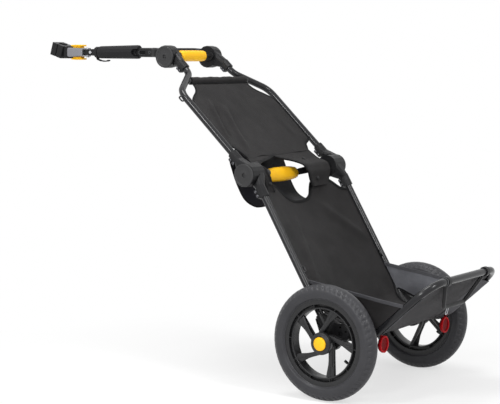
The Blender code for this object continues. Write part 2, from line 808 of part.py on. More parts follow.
def knuckle_half(name, side, carrier, pivot, direction, offset, tube_y, faces, clear, reach):
    """One moulded half of a folding knuckle.

    A disc round the pivot between the two faces runs into a socket for its tube, and the
    other half's disc is cleared by a cylinder.
    """
    start, end = reach
    low, high = faces
    square = flat(-direction[1], direction[0])
    line = pivot + square * offset
    disc = across_cylinder(pivot, side * low, side * high, KNUCKLE_RADIUS, 16)
    body = add_object(name, disc, "moulded_black", carrier)
    fold_side = square * (-1 if offset > 0 else 1)
    neck = knuckle_neck(side, pivot, fold_side, faces, line + direction * start, direction, tube_y)
    neck = add_object(f"{name}_neck", neck, carrier=carrier)
    sleeve_line = [
        at(line + direction * (start + SLEEVE_IN), side * tube_y),
        at(line + direction * end, side * tube_y),
    ]
    sleeve = add_object(
        f"{name}_sleeve", pipe(sleeve_line, SOCKET_RADIUS, sides=12), carrier=carrier
    )
    flange_low = line + direction * (start + FLANGE_IN)
    flange_high = line + direction * (end - FLANGE_SHORT)
    flange = [
        flange_low + fold_side * (SOCKET_RADIUS / 2),
        flange_high + fold_side * (SOCKET_RADIUS / 2),
        flange_high + fold_side * (SOCKET_RADIUS + FLANGE_STAND_OFF),
        flange_low + fold_side * (SOCKET_RADIUS + FLANGE_STAND_OFF),
    ]
    inner, outer = tube_y - FLANGE_HALF_WIDTH, tube_y + FLANGE_HALF_WIDTH
    lug = add_object(f"{name}_lug", plate(flange, side * inner, side * outer), carrier=carrier)
    screws = []
    for k, share in enumerate(SCREW_SHARES):
        spot = flange_low.lerp(flange_high, share) + fold_side * SOCKET_RADIUS
        low_end, high_end = tube_y - SCREW_REACH, tube_y + SCREW_REACH
        shank = across_cylinder(spot, side * low_end, side * high_end, SCREW_RADIUS, 6)
        screws.append(add_object(f"{name}_screw_{k}", shank, carrier=carrier))
    weld(body, neck, sleeve, lug, *screws)
    clear_low, clear_high = clear
    wide = KNUCKLE_RADIUS + KNUCKLE_CLEARANCE
    other = across_cylinder(pivot, side * clear_low, side * clear_high, wide, 16)
    other = add_object(f"{name}_clearance", other, carrier=carrier)
    bore_line = [
        at(line + direction * start, side * tube_y),
        at(line + direction * (end + PAST), side * tube_y),
    ]
    bore = add_object(f"{name}_tube_bore", pipe(bore_line, TUBE_RADIUS + GAP), carrier=carrier)
    pin = PIVOT_DIAMETER / 2 + GAP
    pivot_bore = across_cylinder(pivot, side * (low - PAST), side * (high + PAST), pin, ROUND)
    pivot_bore = add_object(f"{name}_pivot_bore", pivot_bore, carrier=carrier)
    cut(body, other, bore, pivot_bore)
    return body


def knuckle_neck(side, pivot, fold_side, faces, socket, direction, tube_y):
    """The flared web between a knuckle's disc and the mouth of its socket."""
    low, high = faces
    points = []
    for p in circle_outline(pivot, KNUCKLE_RADIUS * NECK_SHARE, 10):
        excess = (p - pivot).dot(fold_side) - KNUCKLE_RADIUS * NECK_FLAT
        if excess > 0:
            p = p - fold_side * excess
        points += [at(p, side * (low + KNUCKLE_INSET)), at(p, side * (high - KNUCKLE_INSET))]
    first, second = frame_of(along(direction), ACROSS)
    centre = at(socket + direction * NECK_INTO_SLEEVE, side * tube_y)
    mouth = SOCKET_RADIUS - KNUCKLE_INSET
    for k in range(10):
        angle = math.radians(36 * k)
        points.append(centre + (first * math.cos(angle) + second * math.sin(angle)) * mouth)
    return hull(points)


def pivot_cap(name, side, carrier, pivot, inner, outer):
    """The ringed cover disc and the pivot pin behind it, turned as one piece."""
    pin = PIVOT_DIAMETER / 2
    head = inner - PIVOT_HEAD
    face = outer + GAP
    top = face + CAP_THICKNESS
    profile = [
        (0.0, head),
        (PIVOT_HEAD_RADIUS, head),
        (PIVOT_HEAD_RADIUS, inner - GAP),
        (pin, inner - GAP),
        (pin, face),
        (CAP_RADIUS, face),
        (CAP_RADIUS, top - CAP_EDGE),
        (CAP_RADIUS - CAP_EDGE, top),
        (CAP_RADIUS - CAP_RING, top),
        (CAP_RADIUS - CAP_RING - CAP_SINK, top - CAP_SINK),
        (CAP_RECESS, top - CAP_SINK),
        (CAP_RECESS - CAP_SINK, top - 2 * CAP_SINK),
        (0.0, top - 2 * CAP_SINK),
    ]
    bm = lathe(profile, at(pivot), ACROSS * side)
    return add_object(name, bm, "moulded_grey", carrier)


def mid_knuckles(lower, upper):
    reach = (SOCKET_START, SOCKET_END)
    lower_faces = (KNUCKLE_INNER_FACE, KNUCKLE_SPLIT + KNUCKLE_OVERLAP)
    lower_clear = (KNUCKLE_SPLIT, KNUCKLE_OUTER_FACE + PAST)
    upper_faces = (KNUCKLE_SPLIT - KNUCKLE_OVERLAP, KNUCKLE_OUTER_FACE)
    upper_clear = (KNUCKLE_INNER_FACE - PAST, KNUCKLE_SPLIT + GAP)
    tube_y = FRAME_HALF_WIDTH
    for name, side in SIDES:
        half = f"{name}_mid_knuckle_lower"
        down, offset = -LOWER_UP, LOWER_OFFSET
        knuckle_half(
            half, side, lower, MID_PIVOT, down, offset, tube_y, lower_faces, lower_clear, reach
        )
        half = f"{name}_mid_knuckle_upper"
        up, offset = UPPER_UP, -UPPER_OFFSET
        knuckle_half(
            half, side, upper, MID_PIVOT, up, offset, tube_y, upper_faces, upper_clear, reach
        )
        inner, outer = KNUCKLE_INNER_FACE, KNUCKLE_OUTER_FACE
        pivot_cap(f"{name}_mid_pivot", side, lower, MID_PIVOT, inner, outer)


def top_knuckles(upper):
    reach = (TOP_SOCKET_START, TOP_SOCKET_END)
    faces = (TOP_INNER_FACE, TOP_SPLIT + KNUCKLE_OVERLAP)
    clear = (TOP_SPLIT, TOP_OUTER_FACE + PAST)
    down, offset = -UPPER_UP, TOP_OFFSET
    tube_y = NECK_HALF_WIDTH
    for name, side in SIDES:
        half = f"{name}_top_knuckle"
        knuckle_half(half, side, upper, TOP_PIVOT, down, offset, tube_y, faces, clear, reach)
        pivot_cap(
            f"{name}_top_pivot", side, upper, TOP_PIVOT, TOP_INNER_FACE, TOP_OUTER_FACE
        )


# Axle, brackets and wheels


def axle_and_brackets(carrier):
    for name, side in SIDES:
        axle_bracket(name, side, carrier)
    half = FRAME_HALF_WIDTH - BRACKET_DEPTH_IN - FIT
    add_object(
        "axle_tube",
        pipe([at(AXLE, -half), at(AXLE, half)], TUBE_RADIUS, TUBE_WALL, 14),
        "frame_black",
        carrier,
    )


def axle_bracket(name, side, carrier):
    """The moulding that joins a lower tube, the axle and the deck's hinge behind it."""
    inner = FRAME_HALF_WIDTH - BRACKET_DEPTH_IN
    outer = TRACK / 2 - HUB_REACH_IN - BRACKET_TO_HUB
    tube_y = side * FRAME_HALF_WIDTH
    shoulder = AXLE + LOWER_UP * BRACKET_SHOULDER
    outline = [
        shoulder + LOWER_FRONT * SOCKET_RADIUS,
        *circle_outline(AXLE, BRACKET_FOOT_RADIUS, 6, 180 + LOWER_LEAN, 330),
        *circle_outline(DECK_HINGE, BRACKET_EAR_RADIUS, 7, -50, 110),
        shoulder - LOWER_FRONT * SOCKET_RADIUS,
    ]
    hinge_side = FRAME_HALF_WIDTH - DECK_HINGE_OUT + HINGE_PLAY
    flat_part = plate(outline, side * hinge_side, side * outer)
    body = add_object(f"{name}_axle_bracket", flat_part, "moulded_black", carrier)
    sleeve_line = [
        at(AXLE + LOWER_UP * (BRACKET_TUBE_START - SLEEVE_IN), tube_y),
        at(AXLE + LOWER_UP * BRACKET_SLEEVE_END, tube_y),
    ]
    sleeve = add_object(
        f"{name}_bracket_sleeve", pipe(sleeve_line, SOCKET_RADIUS, sides=14), carrier=carrier
    )
    low, high = side * (inner - BRACKET_BOSS_IN), side * outer
    boss = add_object(
        f"{name}_bracket_boss",
        across_cylinder(AXLE, low, high, BRACKET_BOSS_RADIUS, 14),
        carrier=carrier,
    )
    weld(body, sleeve, boss)
    bore_line = [
        at(AXLE + LOWER_UP * BRACKET_TUBE_START, tube_y),
        at(AXLE + LOWER_UP * (BRACKET_SLEEVE_END + PAST), tube_y),
    ]
    past_in, past_out = side * (inner - BRACKET_BOSS_IN - PAST), side * (outer + PAST)
    web = side * (inner + PIN_DEPTH)
    pin = PIN_DIAMETER / 2 + GAP
    deck_pin = DECK_PIN_RADIUS + GAP
    cutters = {
        "tube_bore": pipe(bore_line, TUBE_RADIUS + GAP),
        "pin_bore": across_cylinder(AXLE, web, past_out, pin, 14),
        "axle_bore": across_cylinder(AXLE, past_in, side * inner, TUBE_RADIUS + GAP, 14),
        "deck_bore": across_cylinder(DECK_HINGE, past_in, past_out, deck_pin, 14),
    }
    for k, angle in enumerate(BRACKET_HOLE_ANGLES):
        spot = DECK_HINGE + heading(angle) * BRACKET_HOLE_CIRCLE
        hole = across_cylinder(spot, past_in, past_out, BRACKET_HOLE_RADIUS, 6)
        cutters[f"hole_{k}"] = hole
    for label, shape in cutters.items():
        cut(body, add_object(f"{name}_bracket_{label}", shape, carrier=carrier))


def arc_points(centre, radius, start, end, steps):
    return [
        (
            centre[0] + radius[0] * math.cos(math.radians(start + (end - start) * k / steps)),
            centre[1] + radius[1] * math.sin(math.radians(start + (end - start) * k / steps)),
        )
        for k in range(steps + 1)
    ]


def tyre_profile():
    """A tyre's open section: rounded tread outside, thin wall, beads at the rim."""
    half = TYRE_WIDTH / 2
    bead = BEAD_SEAT_DIAMETER / 2 + GAP
    bead_half = RIM_WIDTH / 2 - RIM_WALL - GAP
    centre = TYRE_DIAMETER / 2 - half
    outside = arc_points((centre, 0), (half, half), -76, 76, 4)
    inside = arc_points((centre, 0), (half - TYRE_WALL, half - TYRE_WALL), 70, -70, 2)
    shoulder = RIM_FLANGE_DIAMETER / 2 + TYRE_ON_FLANGE
    side = RIM_WIDTH / 2 + TYRE_ON_FLANGE / 2
    upper_bead = [(shoulder, bead_half), (bead, bead_half), (bead, bead_half - TYRE_WALL)]
    lower_bead = [(bead, -bead_half + TYRE_WALL), (bead, -bead_half), (shoulder, -bead_half)]
    return outside + [(shoulder, side)] + upper_bead + inside + lower_bead + [(shoulder, -side)]


def rim_profile():
    """The rim's channel: two flanges, bead seats, a drop centre and a groove in each side."""
    half = RIM_WIDTH / 2
    flange = RIM_FLANGE_DIAMETER / 2
    seat = BEAD_SEAT_DIAMETER / 2
    inner = RIM_INNER_DIAMETER / 2
    high = [
        (seat - RIM_DROP, half - RIM_WALL - RIM_DROP * 1.5),
        (seat, half - RIM_WALL),
        (flange, half - RIM_WALL),
        (flange, half),
        (inner + RIM_GROOVE_END, half),
        (inner + RIM_GROOVE_END - RIM_EDGE, half - RIM_GROOVE_DEPTH),
        (inner + RIM_GROOVE_START + RIM_EDGE, half - RIM_GROOVE_DEPTH),
        (inner + RIM_GROOVE_START, half),
        (inner, half - RIM_EDGE),
    ]
    return high + [(radius, -height) for radius, height in reversed(high)]


def hub_profile():
    """The hub: a dished outer flange and a barrel, bored for the axle pin and the button."""
    out = HUB_REACH_OUT
    inward = -HUB_REACH_IN
    flange = HUB_FLANGE_DIAMETER / 2
    barrel = HUB_BARREL_DIAMETER / 2
    return [
        (0.0, out),
        (BUTTON_DIAMETER / 2 + BUTTON_FIT + RIM_EDGE, out),
        (flange - HUB_SHOULDER, out - HUB_DISH),
        (flange, out - HUB_FACE),
        (flange, out - HUB_BACK),
        (barrel, out - HUB_NECK),
        (barrel, inward + 2 * HUB_SHOULDER),
        (barrel - HUB_SHOULDER, inward),
        (0.0, inward),
    ]


def spoke_section(across, outward, face):
    """A spoke's section: a ridged face plate towards the outside on a deep web."""
    top = SPOKE_DEPTH / 2
    web = SPOKE_WEB / 2
    deep = SPOKE_FACE_THICKNESS
    half = [
        (face / 2, top - SPOKE_BEVEL),
        (face / 2, top - deep),
        (web, top - deep),
        (web, -top),
    ]
    mirrored = [(-x, y) for x, y in reversed(half)]
    return [across * x + outward * y for x, y in [(0.0, top)] + half + mirrored]


def spoke(name, side, angle, hub_place, carrier):
    """One spoke from inside the hub's barrel to inside the rim, flared at its outer end."""
    out = along(heading(angle))
    across = along(heading(angle + 90))
    start = HUB_BARREL_DIAMETER / 2 - SPOKE_ROOT
    end = RIM_INNER_DIAMETER / 2 + SPOKE_ROOT
    path, sections = [], []
    for share in SPOKE_STATIONS:
        widen = smooth_step(2 * share - 1)
        face = SPOKE_FACE + (SPOKE_FACE_AT_RIM - SPOKE_FACE) * widen
        path.append(hub_place + out * (start + (end - start) * share))
        sections.append(spoke_section(across, ACROSS * side, face))
    return add_object(name, sweep(path, sections), carrier=carrier)


def wheel(name, side, carrier, root, button_carrier):
    """Tyre, spoked wheel, valve, axle pin and release button of one side."""
    centre = at(AXLE, side * TRACK / 2)
    outward = ACROSS * side
    first_spoke = along(heading(0))
    tyre = lathe(tyre_profile(), centre, outward, WHEEL_STEPS, first_spoke)
    add_object(f"{name}_tyre", tyre, "tyre_rubber", carrier)
    rim = lathe(rim_profile(), centre, outward, WHEEL_STEPS, first_spoke)
    rim = add_object(f"{name}_wheel", rim, "moulded_black", carrier)
    hub = lathe(hub_profile(), centre, outward, WHEEL_STEPS, first_spoke)
    spokes = [
        spoke(f"{name}_spoke_{k}", side, 360 / SPOKE_COUNT * k, centre, carrier)
        for k in range(SPOKE_COUNT)
    ]
    weld(rim, add_object(f"{name}_hub", hub, carrier=carrier), *spokes)
    pin_bore = PIN_DIAMETER / 2 + GAP
    button_bore = BUTTON_DIAMETER / 2 + BUTTON_FIT
    floor = HUB_REACH_OUT - BUTTON_RECESS
    bores = [
        (0.0, -HUB_REACH_IN - PAST),
        (pin_bore, -HUB_REACH_IN - PAST),
        (pin_bore, floor),
        (button_bore, floor),
        (button_bore, HUB_REACH_OUT + PAST),
        (0.0, HUB_REACH_OUT + PAST),
    ]
    middle = lathe(bores, centre, outward, WHEEL_STEPS, first_spoke)
    radial = along(heading(VALVE_ANGLE))
    low = centre + radial * (RIM_INNER_DIAMETER / 2 - PAST / 2)
    high = centre + radial * (RIM_FLANGE_DIAMETER / 2)
    valve_way = cylinder(low, high, VALVE_DIAMETER / 2 + FIT, 6)
    cut(
        rim,
        add_object(f"{name}_hub_bore", middle, carrier=carrier),
        add_object(f"{name}_valve_way", valve_way, carrier=carrier),
    )
    valve(name, centre, radial, carrier)
    pin_and_button(name, centre, outward, root, button_carrier)


def valve(name, centre, radial, carrier):
    top = BEAD_SEAT_DIAMETER / 2 - RIM_DROP - FIT
    radius = VALVE_DIAMETER / 2
    stem, waist_start, waist_end, knob = [top - VALVE_LENGTH * mark for mark in VALVE_MARKS]
    profile = [
        (0.0, top),
        (radius, top),
        (radius, stem),
        (radius * VALVE_WAIST, waist_start),
        (radius * VALVE_WAIST, waist_end),
        (radius * VALVE_KNOB, knob),
        (radius * VALVE_KNOB, top - VALVE_LENGTH),
        (0.0, top - VALVE_LENGTH),
    ]
    add_object(f"{name}_valve", lathe(profile, centre, radial, 6), "moulded_black", carrier)


def pin_and_button(name, centre, outward, root, button_carrier):
    """The steel pin that carries the wheel, and the yellow button in the hub's outer face."""
    end = HUB_REACH_OUT - PIN_HEAD_ROOM
    start = FRAME_HALF_WIDTH - BRACKET_DEPTH_IN + PIN_DEPTH + 2 * FIT - TRACK / 2
    pin = PIN_DIAMETER / 2
    profile = [
        (0.0, start),
        (pin - 2 * FIT, start),
        (pin, start + 2 * FIT),
        (pin, end),
        (0.0, end),
    ]
    add_object(f"{name}_axle_pin", lathe(profile, centre, outward, 12), "steel", root)
    radius = BUTTON_DIAMETER / 2
    face = HUB_REACH_OUT + BUTTON_PROUD
    back = end + BUTTON_TRAVEL + FIT
    profile = [
        (0.0, back),
        (radius, back),
        (radius, face - BUTTON_EDGE),
        (radius - BUTTON_EDGE, face - BUTTON_EDGE / 4),
        (0.0, face),
    ]
    button = lathe(profile, centre, outward, 20)
    add_object(f"{name}_wheel_button", button, "release_yellow", button_carrier)


# Release levers


def lever_section(width, height, across, up):
    return rounded_box(width, height, min(width, height) * LEVER_CORNER, across, up, 1)


def mid_release(carrier):
    """A lever on the mid pivots' line: two barrels, two bent arms and the rod in the grip."""
    barrel_out = KNUCKLE_INNER_FACE - LEVER_SIDE_PLAY
    barrel_in = barrel_out - BARREL_LENGTH
    reach = heading(MID_GRIP_DIRECTION)
    grip_at = MID_PIVOT + reach * MID_GRIP_REACH
    up = along(heading(MID_GRIP_DIRECTION + 90))
    arm_y = MID_GRIP_LENGTH / 2 + MID_ARM_PLAY + MID_ARM_THICKNESS / 2
    rod = across_cylinder(grip_at, -arm_y, arm_y, LEVER_ROD_DIAMETER / 2, 12)
    lever = add_object("mid_release_lever", rod, "moulded_black", carrier)
    wide = BARREL_DIAMETER / 2
    profile = [
        (0.0, barrel_in),
        (BARREL_TIP_RADIUS - CHAMFER, barrel_in),
        (BARREL_TIP_RADIUS, barrel_in + CHAMFER),
        (wide, barrel_in + BARREL_TAPER),
        (wide, barrel_out - CHAMFER),
        (wide - CHAMFER, barrel_out),
        (0.0, barrel_out),
    ]
    step = MID_ARM_THICKNESS
    places = (barrel_in + step, barrel_in + step / 5, arm_y + step / 5, arm_y, arm_y)
    stations = list(zip(MID_ARM_SHARES, places, MID_ARM_TALL))
    for name, side in SIDES:
        barrel = lathe(profile, at(MID_PIVOT), ACROSS * side, 10)
        barrel = add_object(f"{name}_barrel", barrel, carrier=carrier)
        path = [at(MID_PIVOT + reach * (MID_GRIP_REACH * r), side * y) for r, y, _ in stations]
        sections = [
            lever_section(MID_ARM_THICKNESS, tall, ACROSS, up) for _, _, tall in stations
        ]
        arm = add_object(f"{name}_lever_arm", sweep(path, sections), carrier=carrier)
        weld(lever, barrel, arm)
    pillow_grip(grip_at, along(reach), up, carrier)


def pillow_grip(grip_at, across, up, carrier):
    """The yellow grip: an oval bar that swells towards its middle, bored for the rod."""
    half = MID_GRIP_LENGTH / 2
    path, sections = [], []
    for share in PILLOW_STATIONS:
        end = smooth_step((abs(share) - PILLOW_END_FROM) / (1 - PILLOW_END_FROM))
        size = 1 - PILLOW_SWELL * abs(share) ** 3 - PILLOW_END * end
        deep = MID_GRIP_DEPTH * (PILLOW_SWELL + (1 - PILLOW_SWELL) * size)
        path.append(at(grip_at, share * half))
        sections.append(ellipse(deep, MID_GRIP_HEIGHT * size, across, up, 12))
    grip = add_object("mid_release_grip", sweep(path, sections), "release_yellow", carrier)
    end = half + PAST
    bore = across_cylinder(grip_at, -end, end, LEVER_ROD_DIAMETER / 2 + GAP, 12)
    cut(grip, add_object("mid_grip_bore", bore, carrier=carrier))


def top_release(carrier):
    """The upper lever: short crank plates beside the knuckles and a rod in the grip."""
    tilt = TOP_GRIP_DIRECTION
    grip_at = TOP_PIVOT + heading(tilt) * TOP_GRIP_REACH
    plate_out = TOP_INNER_FACE - LEVER_SIDE_PLAY
    plate_in = plate_out - TOP_CRANK_THICKNESS
    rod = across_cylinder(
        grip_at, -plate_in - CHAMFER, plate_in + CHAMFER, LEVER_ROD_DIAMETER / 2, 12
    )
    lever = add_object("top_release_lever", rod, "moulded_black", carrier)
    radius = TOP_GRIP_DIAMETER / 2
    for name, side in SIDES:
        outline = circle_outline(TOP_PIVOT, radius * TOP_CRANK_AT_PIVOT, 10, 90 + tilt, 270 + tilt)
        outline += circle_outline(grip_at, radius * TOP_CRANK_AT_ROD, 8, -90 + tilt, 90 + tilt)
        crank = plate(outline, side * plate_in, side * plate_out)
        weld(lever, add_object(f"{name}_crank", crank, carrier=carrier))
    half = TOP_GRIP_LENGTH / 2
    bore = LEVER_ROD_DIAMETER / 2 + GAP
    left = [(radius * wide, -half + inset) for wide, inset in TOP_GRIP_ENDS]
    right = [(radius * wide, half - inset) for wide, inset in reversed(TOP_GRIP_ENDS)]
    middle = [(radius, sign * half * TOP_GRIP_MIDDLE) for sign in (-1, 1)]
    profile = [(bore, -half)] + left + middle + right + [(bore, half)]
    grip = lathe(profile, at(grip_at), ACROSS, 12)
    add_object("top_release_grip", grip, "release_yellow", carrier)


# Tow arm


def arm_point(x, y=0.0, z=0.0):
    return at(flat(x, ARM_HEIGHT + z), y)


def tow_arm(carrier):
    """The yoke on the top pivots, its neck, and what the arm carries in front of it."""
    disc_mid = (TOP_SPLIT + GAP + TOP_OUTER_FACE) / 2
    root = flat(*YOKE_SHOULDER)
    corners = [
        at(TOP_PIVOT + flat(*YOKE_TIP), -disc_mid),
        at(TOP_PIVOT + root, -disc_mid + YOKE_DRAW),
        arm_point(YOKE_ROOT_X, -YOKE_ROOT_HALF_WIDTH),
        arm_point(YOKE_ROOT_X, YOKE_ROOT_HALF_WIDTH),
        at(TOP_PIVOT + root, disc_mid - YOKE_DRAW),
        at(TOP_PIVOT + flat(*YOKE_TIP), disc_mid),
    ]
    path = rounded_path(corners, YOKE_BENDS, 2)
    sections = []
    for i, point in enumerate(path):
        direction = (path[min(i + 1, len(path) - 1)] - path[max(i - 1, 0)]).normalized()
        out = direction.cross(UP).normalized()
        sections.append(rounded_box(YOKE_BAR_WIDTH, YOKE_BAR_TALL, YOKE_CORNER, out, UP, 1))
    yoke = add_object("arm_yoke", sweep(path, sections), "moulded_black", carrier)
    for name, side in SIDES:
        low, high = side * (TOP_SPLIT - KNUCKLE_OVERLAP), side * TOP_OUTER_FACE
        disc = across_cylinder(TOP_PIVOT, low, high, KNUCKLE_RADIUS, 14)
        weld(yoke, add_object(f"{name}_yoke_disc", disc, carrier=carrier))
    stations = [
        (YOKE_ROOT_X - share * NECK_LENGTH, wide * NECK_WIDTH) for share, wide in NECK_STATIONS
    ]
    stations.append((NECK_END_X, NECK_WIDTH))
    neck = sweep(
        [arm_point(x) for x, _ in stations],
        [rounded_box(wide, NECK_TALL, NECK_CORNER, ACROSS, UP) for _, wide in stations],
    )
    weld(yoke, add_object("yoke_neck", neck, carrier=carrier))
    rear = flat(NECK_END_X + RECESS_REAR * NECK_LENGTH, ARM_HEIGHT)
    front = flat(NECK_END_X + RECESS_FRONT * NECK_LENGTH, ARM_HEIGHT)
    radius = NECK_RECESS_RADIUS
    slot = circle_outline(rear, radius, 6, -90, 90) + circle_outline(front, radius, 6, 90, 270)
    wide = KNUCKLE_RADIUS + KNUCKLE_CLEARANCE
    pin = PIVOT_DIAMETER / 2 + GAP
    for name, side in SIDES:
        recess = plate(slot, side * NECK_WEB_HALF, side * PAST)
        split = side * (TOP_SPLIT + GAP)
        clear = across_cylinder(TOP_PIVOT, side * (TOP_INNER_FACE - PAST), split, wide, 18)
        low, high = side * (TOP_SPLIT - PAST), side * (TOP_OUTER_FACE + PAST)
        bore = across_cylinder(TOP_PIVOT, low, high, pin, 12)
        cut(
            yoke,
            add_object(f"{name}_neck_recess", recess, carrier=carrier),
            add_object(f"{name}_yoke_clearance", clear, carrier=carrier),
            add_object(f"{name}_yoke_bore", bore, carrier=carrier),
        )
    socket = pipe([arm_point(NECK_END_X - PAST), arm_point(NECK_END_X + PAST)], NECK_BORE, sides=10)
    cut(yoke, add_object("neck_tube_bore", socket, carrier=carrier))
    arm_grip(carrier)
    end_cap(carrier)


def arm_grip(carrier):
    """The long hand grip round the arm: oval, a little thicker at its rear end."""
    stations = (
        (GRIP_FRONT_X, GRIP_END_SIZES[0]),
        (GRIP_FRONT_X + 2 * CHAMFER, GRIP_END_SIZES[1]),
        (GRIP_FRONT_X + 7 * CHAMFER, 1.0),
        (GRIP_REAR_X - 5 * CHAMFER, 1.0),
        (GRIP_REAR_X - CHAMFER, GRIP_END_SIZES[2]),
        (GRIP_REAR_X, GRIP_END_SIZES[3]),
    )
    path, sections = [], []
    for x, size in stations:
        share = (x - GRIP_FRONT_X) / (GRIP_REAR_X - GRIP_FRONT_X)
        tall = GRIP_HEIGHT_FRONT + (GRIP_HEIGHT_REAR - GRIP_HEIGHT_FRONT) * share
        path.append(arm_point(x, 0, CHAMFER * share))
        sections.append(ellipse(GRIP_WIDTH * size, tall * size, ACROSS, UP, 14))
    grip = add_object("arm_grip", sweep(path, sections), "grip_black", carrier)
    behind = GRIP_REAR_X + PAST
    bore_line = [arm_point(GRIP_FRONT_X - PAST), arm_point(behind)]
    tube_bore = pipe(bore_line, ARM_TUBE_DIAMETER / 2 + GAP, sides=16)
    mouth = sweep(
        [arm_point(NECK_END_X - GAP), arm_point(behind)],
        [rounded_box(NECK_WIDTH + 2 * GAP, NECK_TALL + 2 * GAP, NECK_CORNER, ACROSS, UP)] * 2,
    )
    radius = GRIP_NOTCH_RADIUS
    notch_at = flat(GRIP_REAR_X - GRIP_NOTCH_DEPTH + radius, ARM_HEIGHT)
    outline = circle_outline(notch_at, radius, 8, 90, 270)
    outline += [flat(behind, ARM_HEIGHT - radius), flat(behind, ARM_HEIGHT + radius)]
    cut(
        grip,
        add_object("grip_tube_bore", tube_bore, carrier=carrier),
        add_object("grip_mouth", mouth, carrier=carrier),
        add_object("grip_notch", plate(outline, -GRIP_WIDTH, GRIP_WIDTH), carrier=carrier),
    )
    tube_line = [arm_point(CAP_FRONT_X + TUBE_IN_CAP + FIT), arm_point(NECK_END_X - GAP)]
    tube = pipe(tube_line, ARM_TUBE_DIAMETER / 2, TUBE_WALL, 16)
    add_object("arm_tube", tube, "frame_black", carrier)


def end_cap(carrier):
    """The arm's front cap: a collar, two ears for the link's pin and a hook below."""
    shape = ellipse(CAP_WIDE, CAP_TALL, ACROSS, UP, 14)
    small = ellipse(CAP_EDGE_SHARE * CAP_WIDE, CAP_EDGE_SHARE * CAP_TALL, ACROSS, UP, 14)
    line = [
        arm_point(GRIP_FRONT_X - GAP),
        arm_point(CAP_FRONT_X + 2 * CHAMFER),
        arm_point(CAP_FRONT_X),
    ]
    cap = add_object("arm_end_cap", sweep(line, [shape, shape, small]), "moulded_black", carrier)
    plug_line = [arm_point(CAP_FRONT_X + 2 * CHAMFER), arm_point(GRIP_FRONT_X + PAST)]
    plug = pipe(plug_line, PLUG_RADIUS, sides=12)
    weld(cap, add_object("cap_plug", plug, carrier=carrier))
    for name, side in SIDES:
        outline = circle_outline(flat(PITCH_X, ARM_HEIGHT), CAP_EAR_RADIUS, 8, 90, 270)
        for height in (-CAP_EAR_RADIUS - FIT, CAP_EAR_RADIUS + FIT):
            outline.append(flat(CAP_FRONT_X + 2 * CHAMFER, ARM_HEIGHT + height))
        ear = plate(outline, side * CAP_EAR_IN, side * CAP_EAR_OUT)
        weld(cap, add_object(f"{name}_cap_ear", ear, carrier=carrier))
    hook_path = [arm_point(CAP_FRONT_X + x, 0, z) for x, z in HOOK_ROUTE]
    hook_sections = []
    for i, point in enumerate(hook_path):
        ahead = hook_path[min(i + 1, len(hook_path) - 1)]
        direction = (ahead - hook_path[max(i - 1, 0)]).normalized()
        normal = direction.cross(ACROSS)
        hook_sections.append(rounded_box(HOOK_WIDTH, HOOK_THICKNESS, HOOK_CORNER, ACROSS, normal, 1))
    weld(cap, add_object("cap_hook", sweep(hook_path, hook_sections), carrier=carrier))
    pin = HITCH_PIN_RADIUS
    pitch = flat(PITCH_X, ARM_HEIGHT)
    pin_bore = across_cylinder(pitch, -PAST, PAST, pin + GAP, 10)
    sleeve = [
        (PLUG_RADIUS, CAP_FRONT_X + TUBE_IN_CAP),
        (ARM_TUBE_DIAMETER / 2 + GAP, CAP_FRONT_X + TUBE_IN_CAP),
        (ARM_TUBE_DIAMETER / 2 + GAP, GRIP_FRONT_X + 2 * PAST),
        (PLUG_RADIUS, GRIP_FRONT_X + 2 * PAST),
    ]
    tube_bore = lathe(sleeve, at(flat(0, ARM_HEIGHT)), Vector((1, 0, 0)), 14)
    cut(
        cap,
        add_object("cap_pin_bore", pin_bore, carrier=carrier),
        add_object("cap_tube_bore", tube_bore, carrier=carrier),
    )
    head = CAP_EAR_OUT + GAP
    profile = [
        (0.0, -head - PIN_HEAD),
        (pin + CHAMFER, -head - PIN_HEAD),
        (pin + CHAMFER, -head),
        (pin, -head),
        (pin, head + CHAMFER),
        (0.0, head + CHAMFER),
    ]
    add_object("pitch_pin", lathe(profile, at(pitch), ACROSS, 12), "steel", carrier)


# Hitch


def hitch_link(carrier):
    """The link between arm and coupler: a cross block with a level and an upright pin."""
    pitch = flat(PITCH_X, ARM_HEIGHT)
    half = LINK_HALF_HEIGHT
    outline = circle_outline(pitch, half, 8, -90, 90)
    outline += [
        flat(YAW_X + half / 2, ARM_HEIGHT + half),
        flat(YAW_X + half / 2, ARM_HEIGHT - half),
    ]
    block = plate(outline, -CAP_EAR_IN + FIT, CAP_EAR_IN - FIT)
    block = add_object("hitch_link", block, "moulded_black", carrier)
    low, high = arm_point(YAW_X, 0, -half), arm_point(YAW_X, 0, half)
    barrel = cylinder(low, high, CAP_EAR_RADIUS, 12)
    weld(block, add_object("link_barrel", barrel, carrier=carrier))
    pin_bore = across_cylinder(pitch, -PAST, PAST, HITCH_PIN_RADIUS + GAP, 10)
    low, high = arm_point(YAW_X, 0, -PAST), arm_point(YAW_X, 0, PAST)
    yaw_bore = cylinder(low, high, YAW_PIN_RADIUS + GAP, 12)
    cut(
        block,
        add_object("link_pin_bore", pin_bore, carrier=carrier),
        add_object("link_yaw_bore", yaw_bore, carrier=carrier),
    )


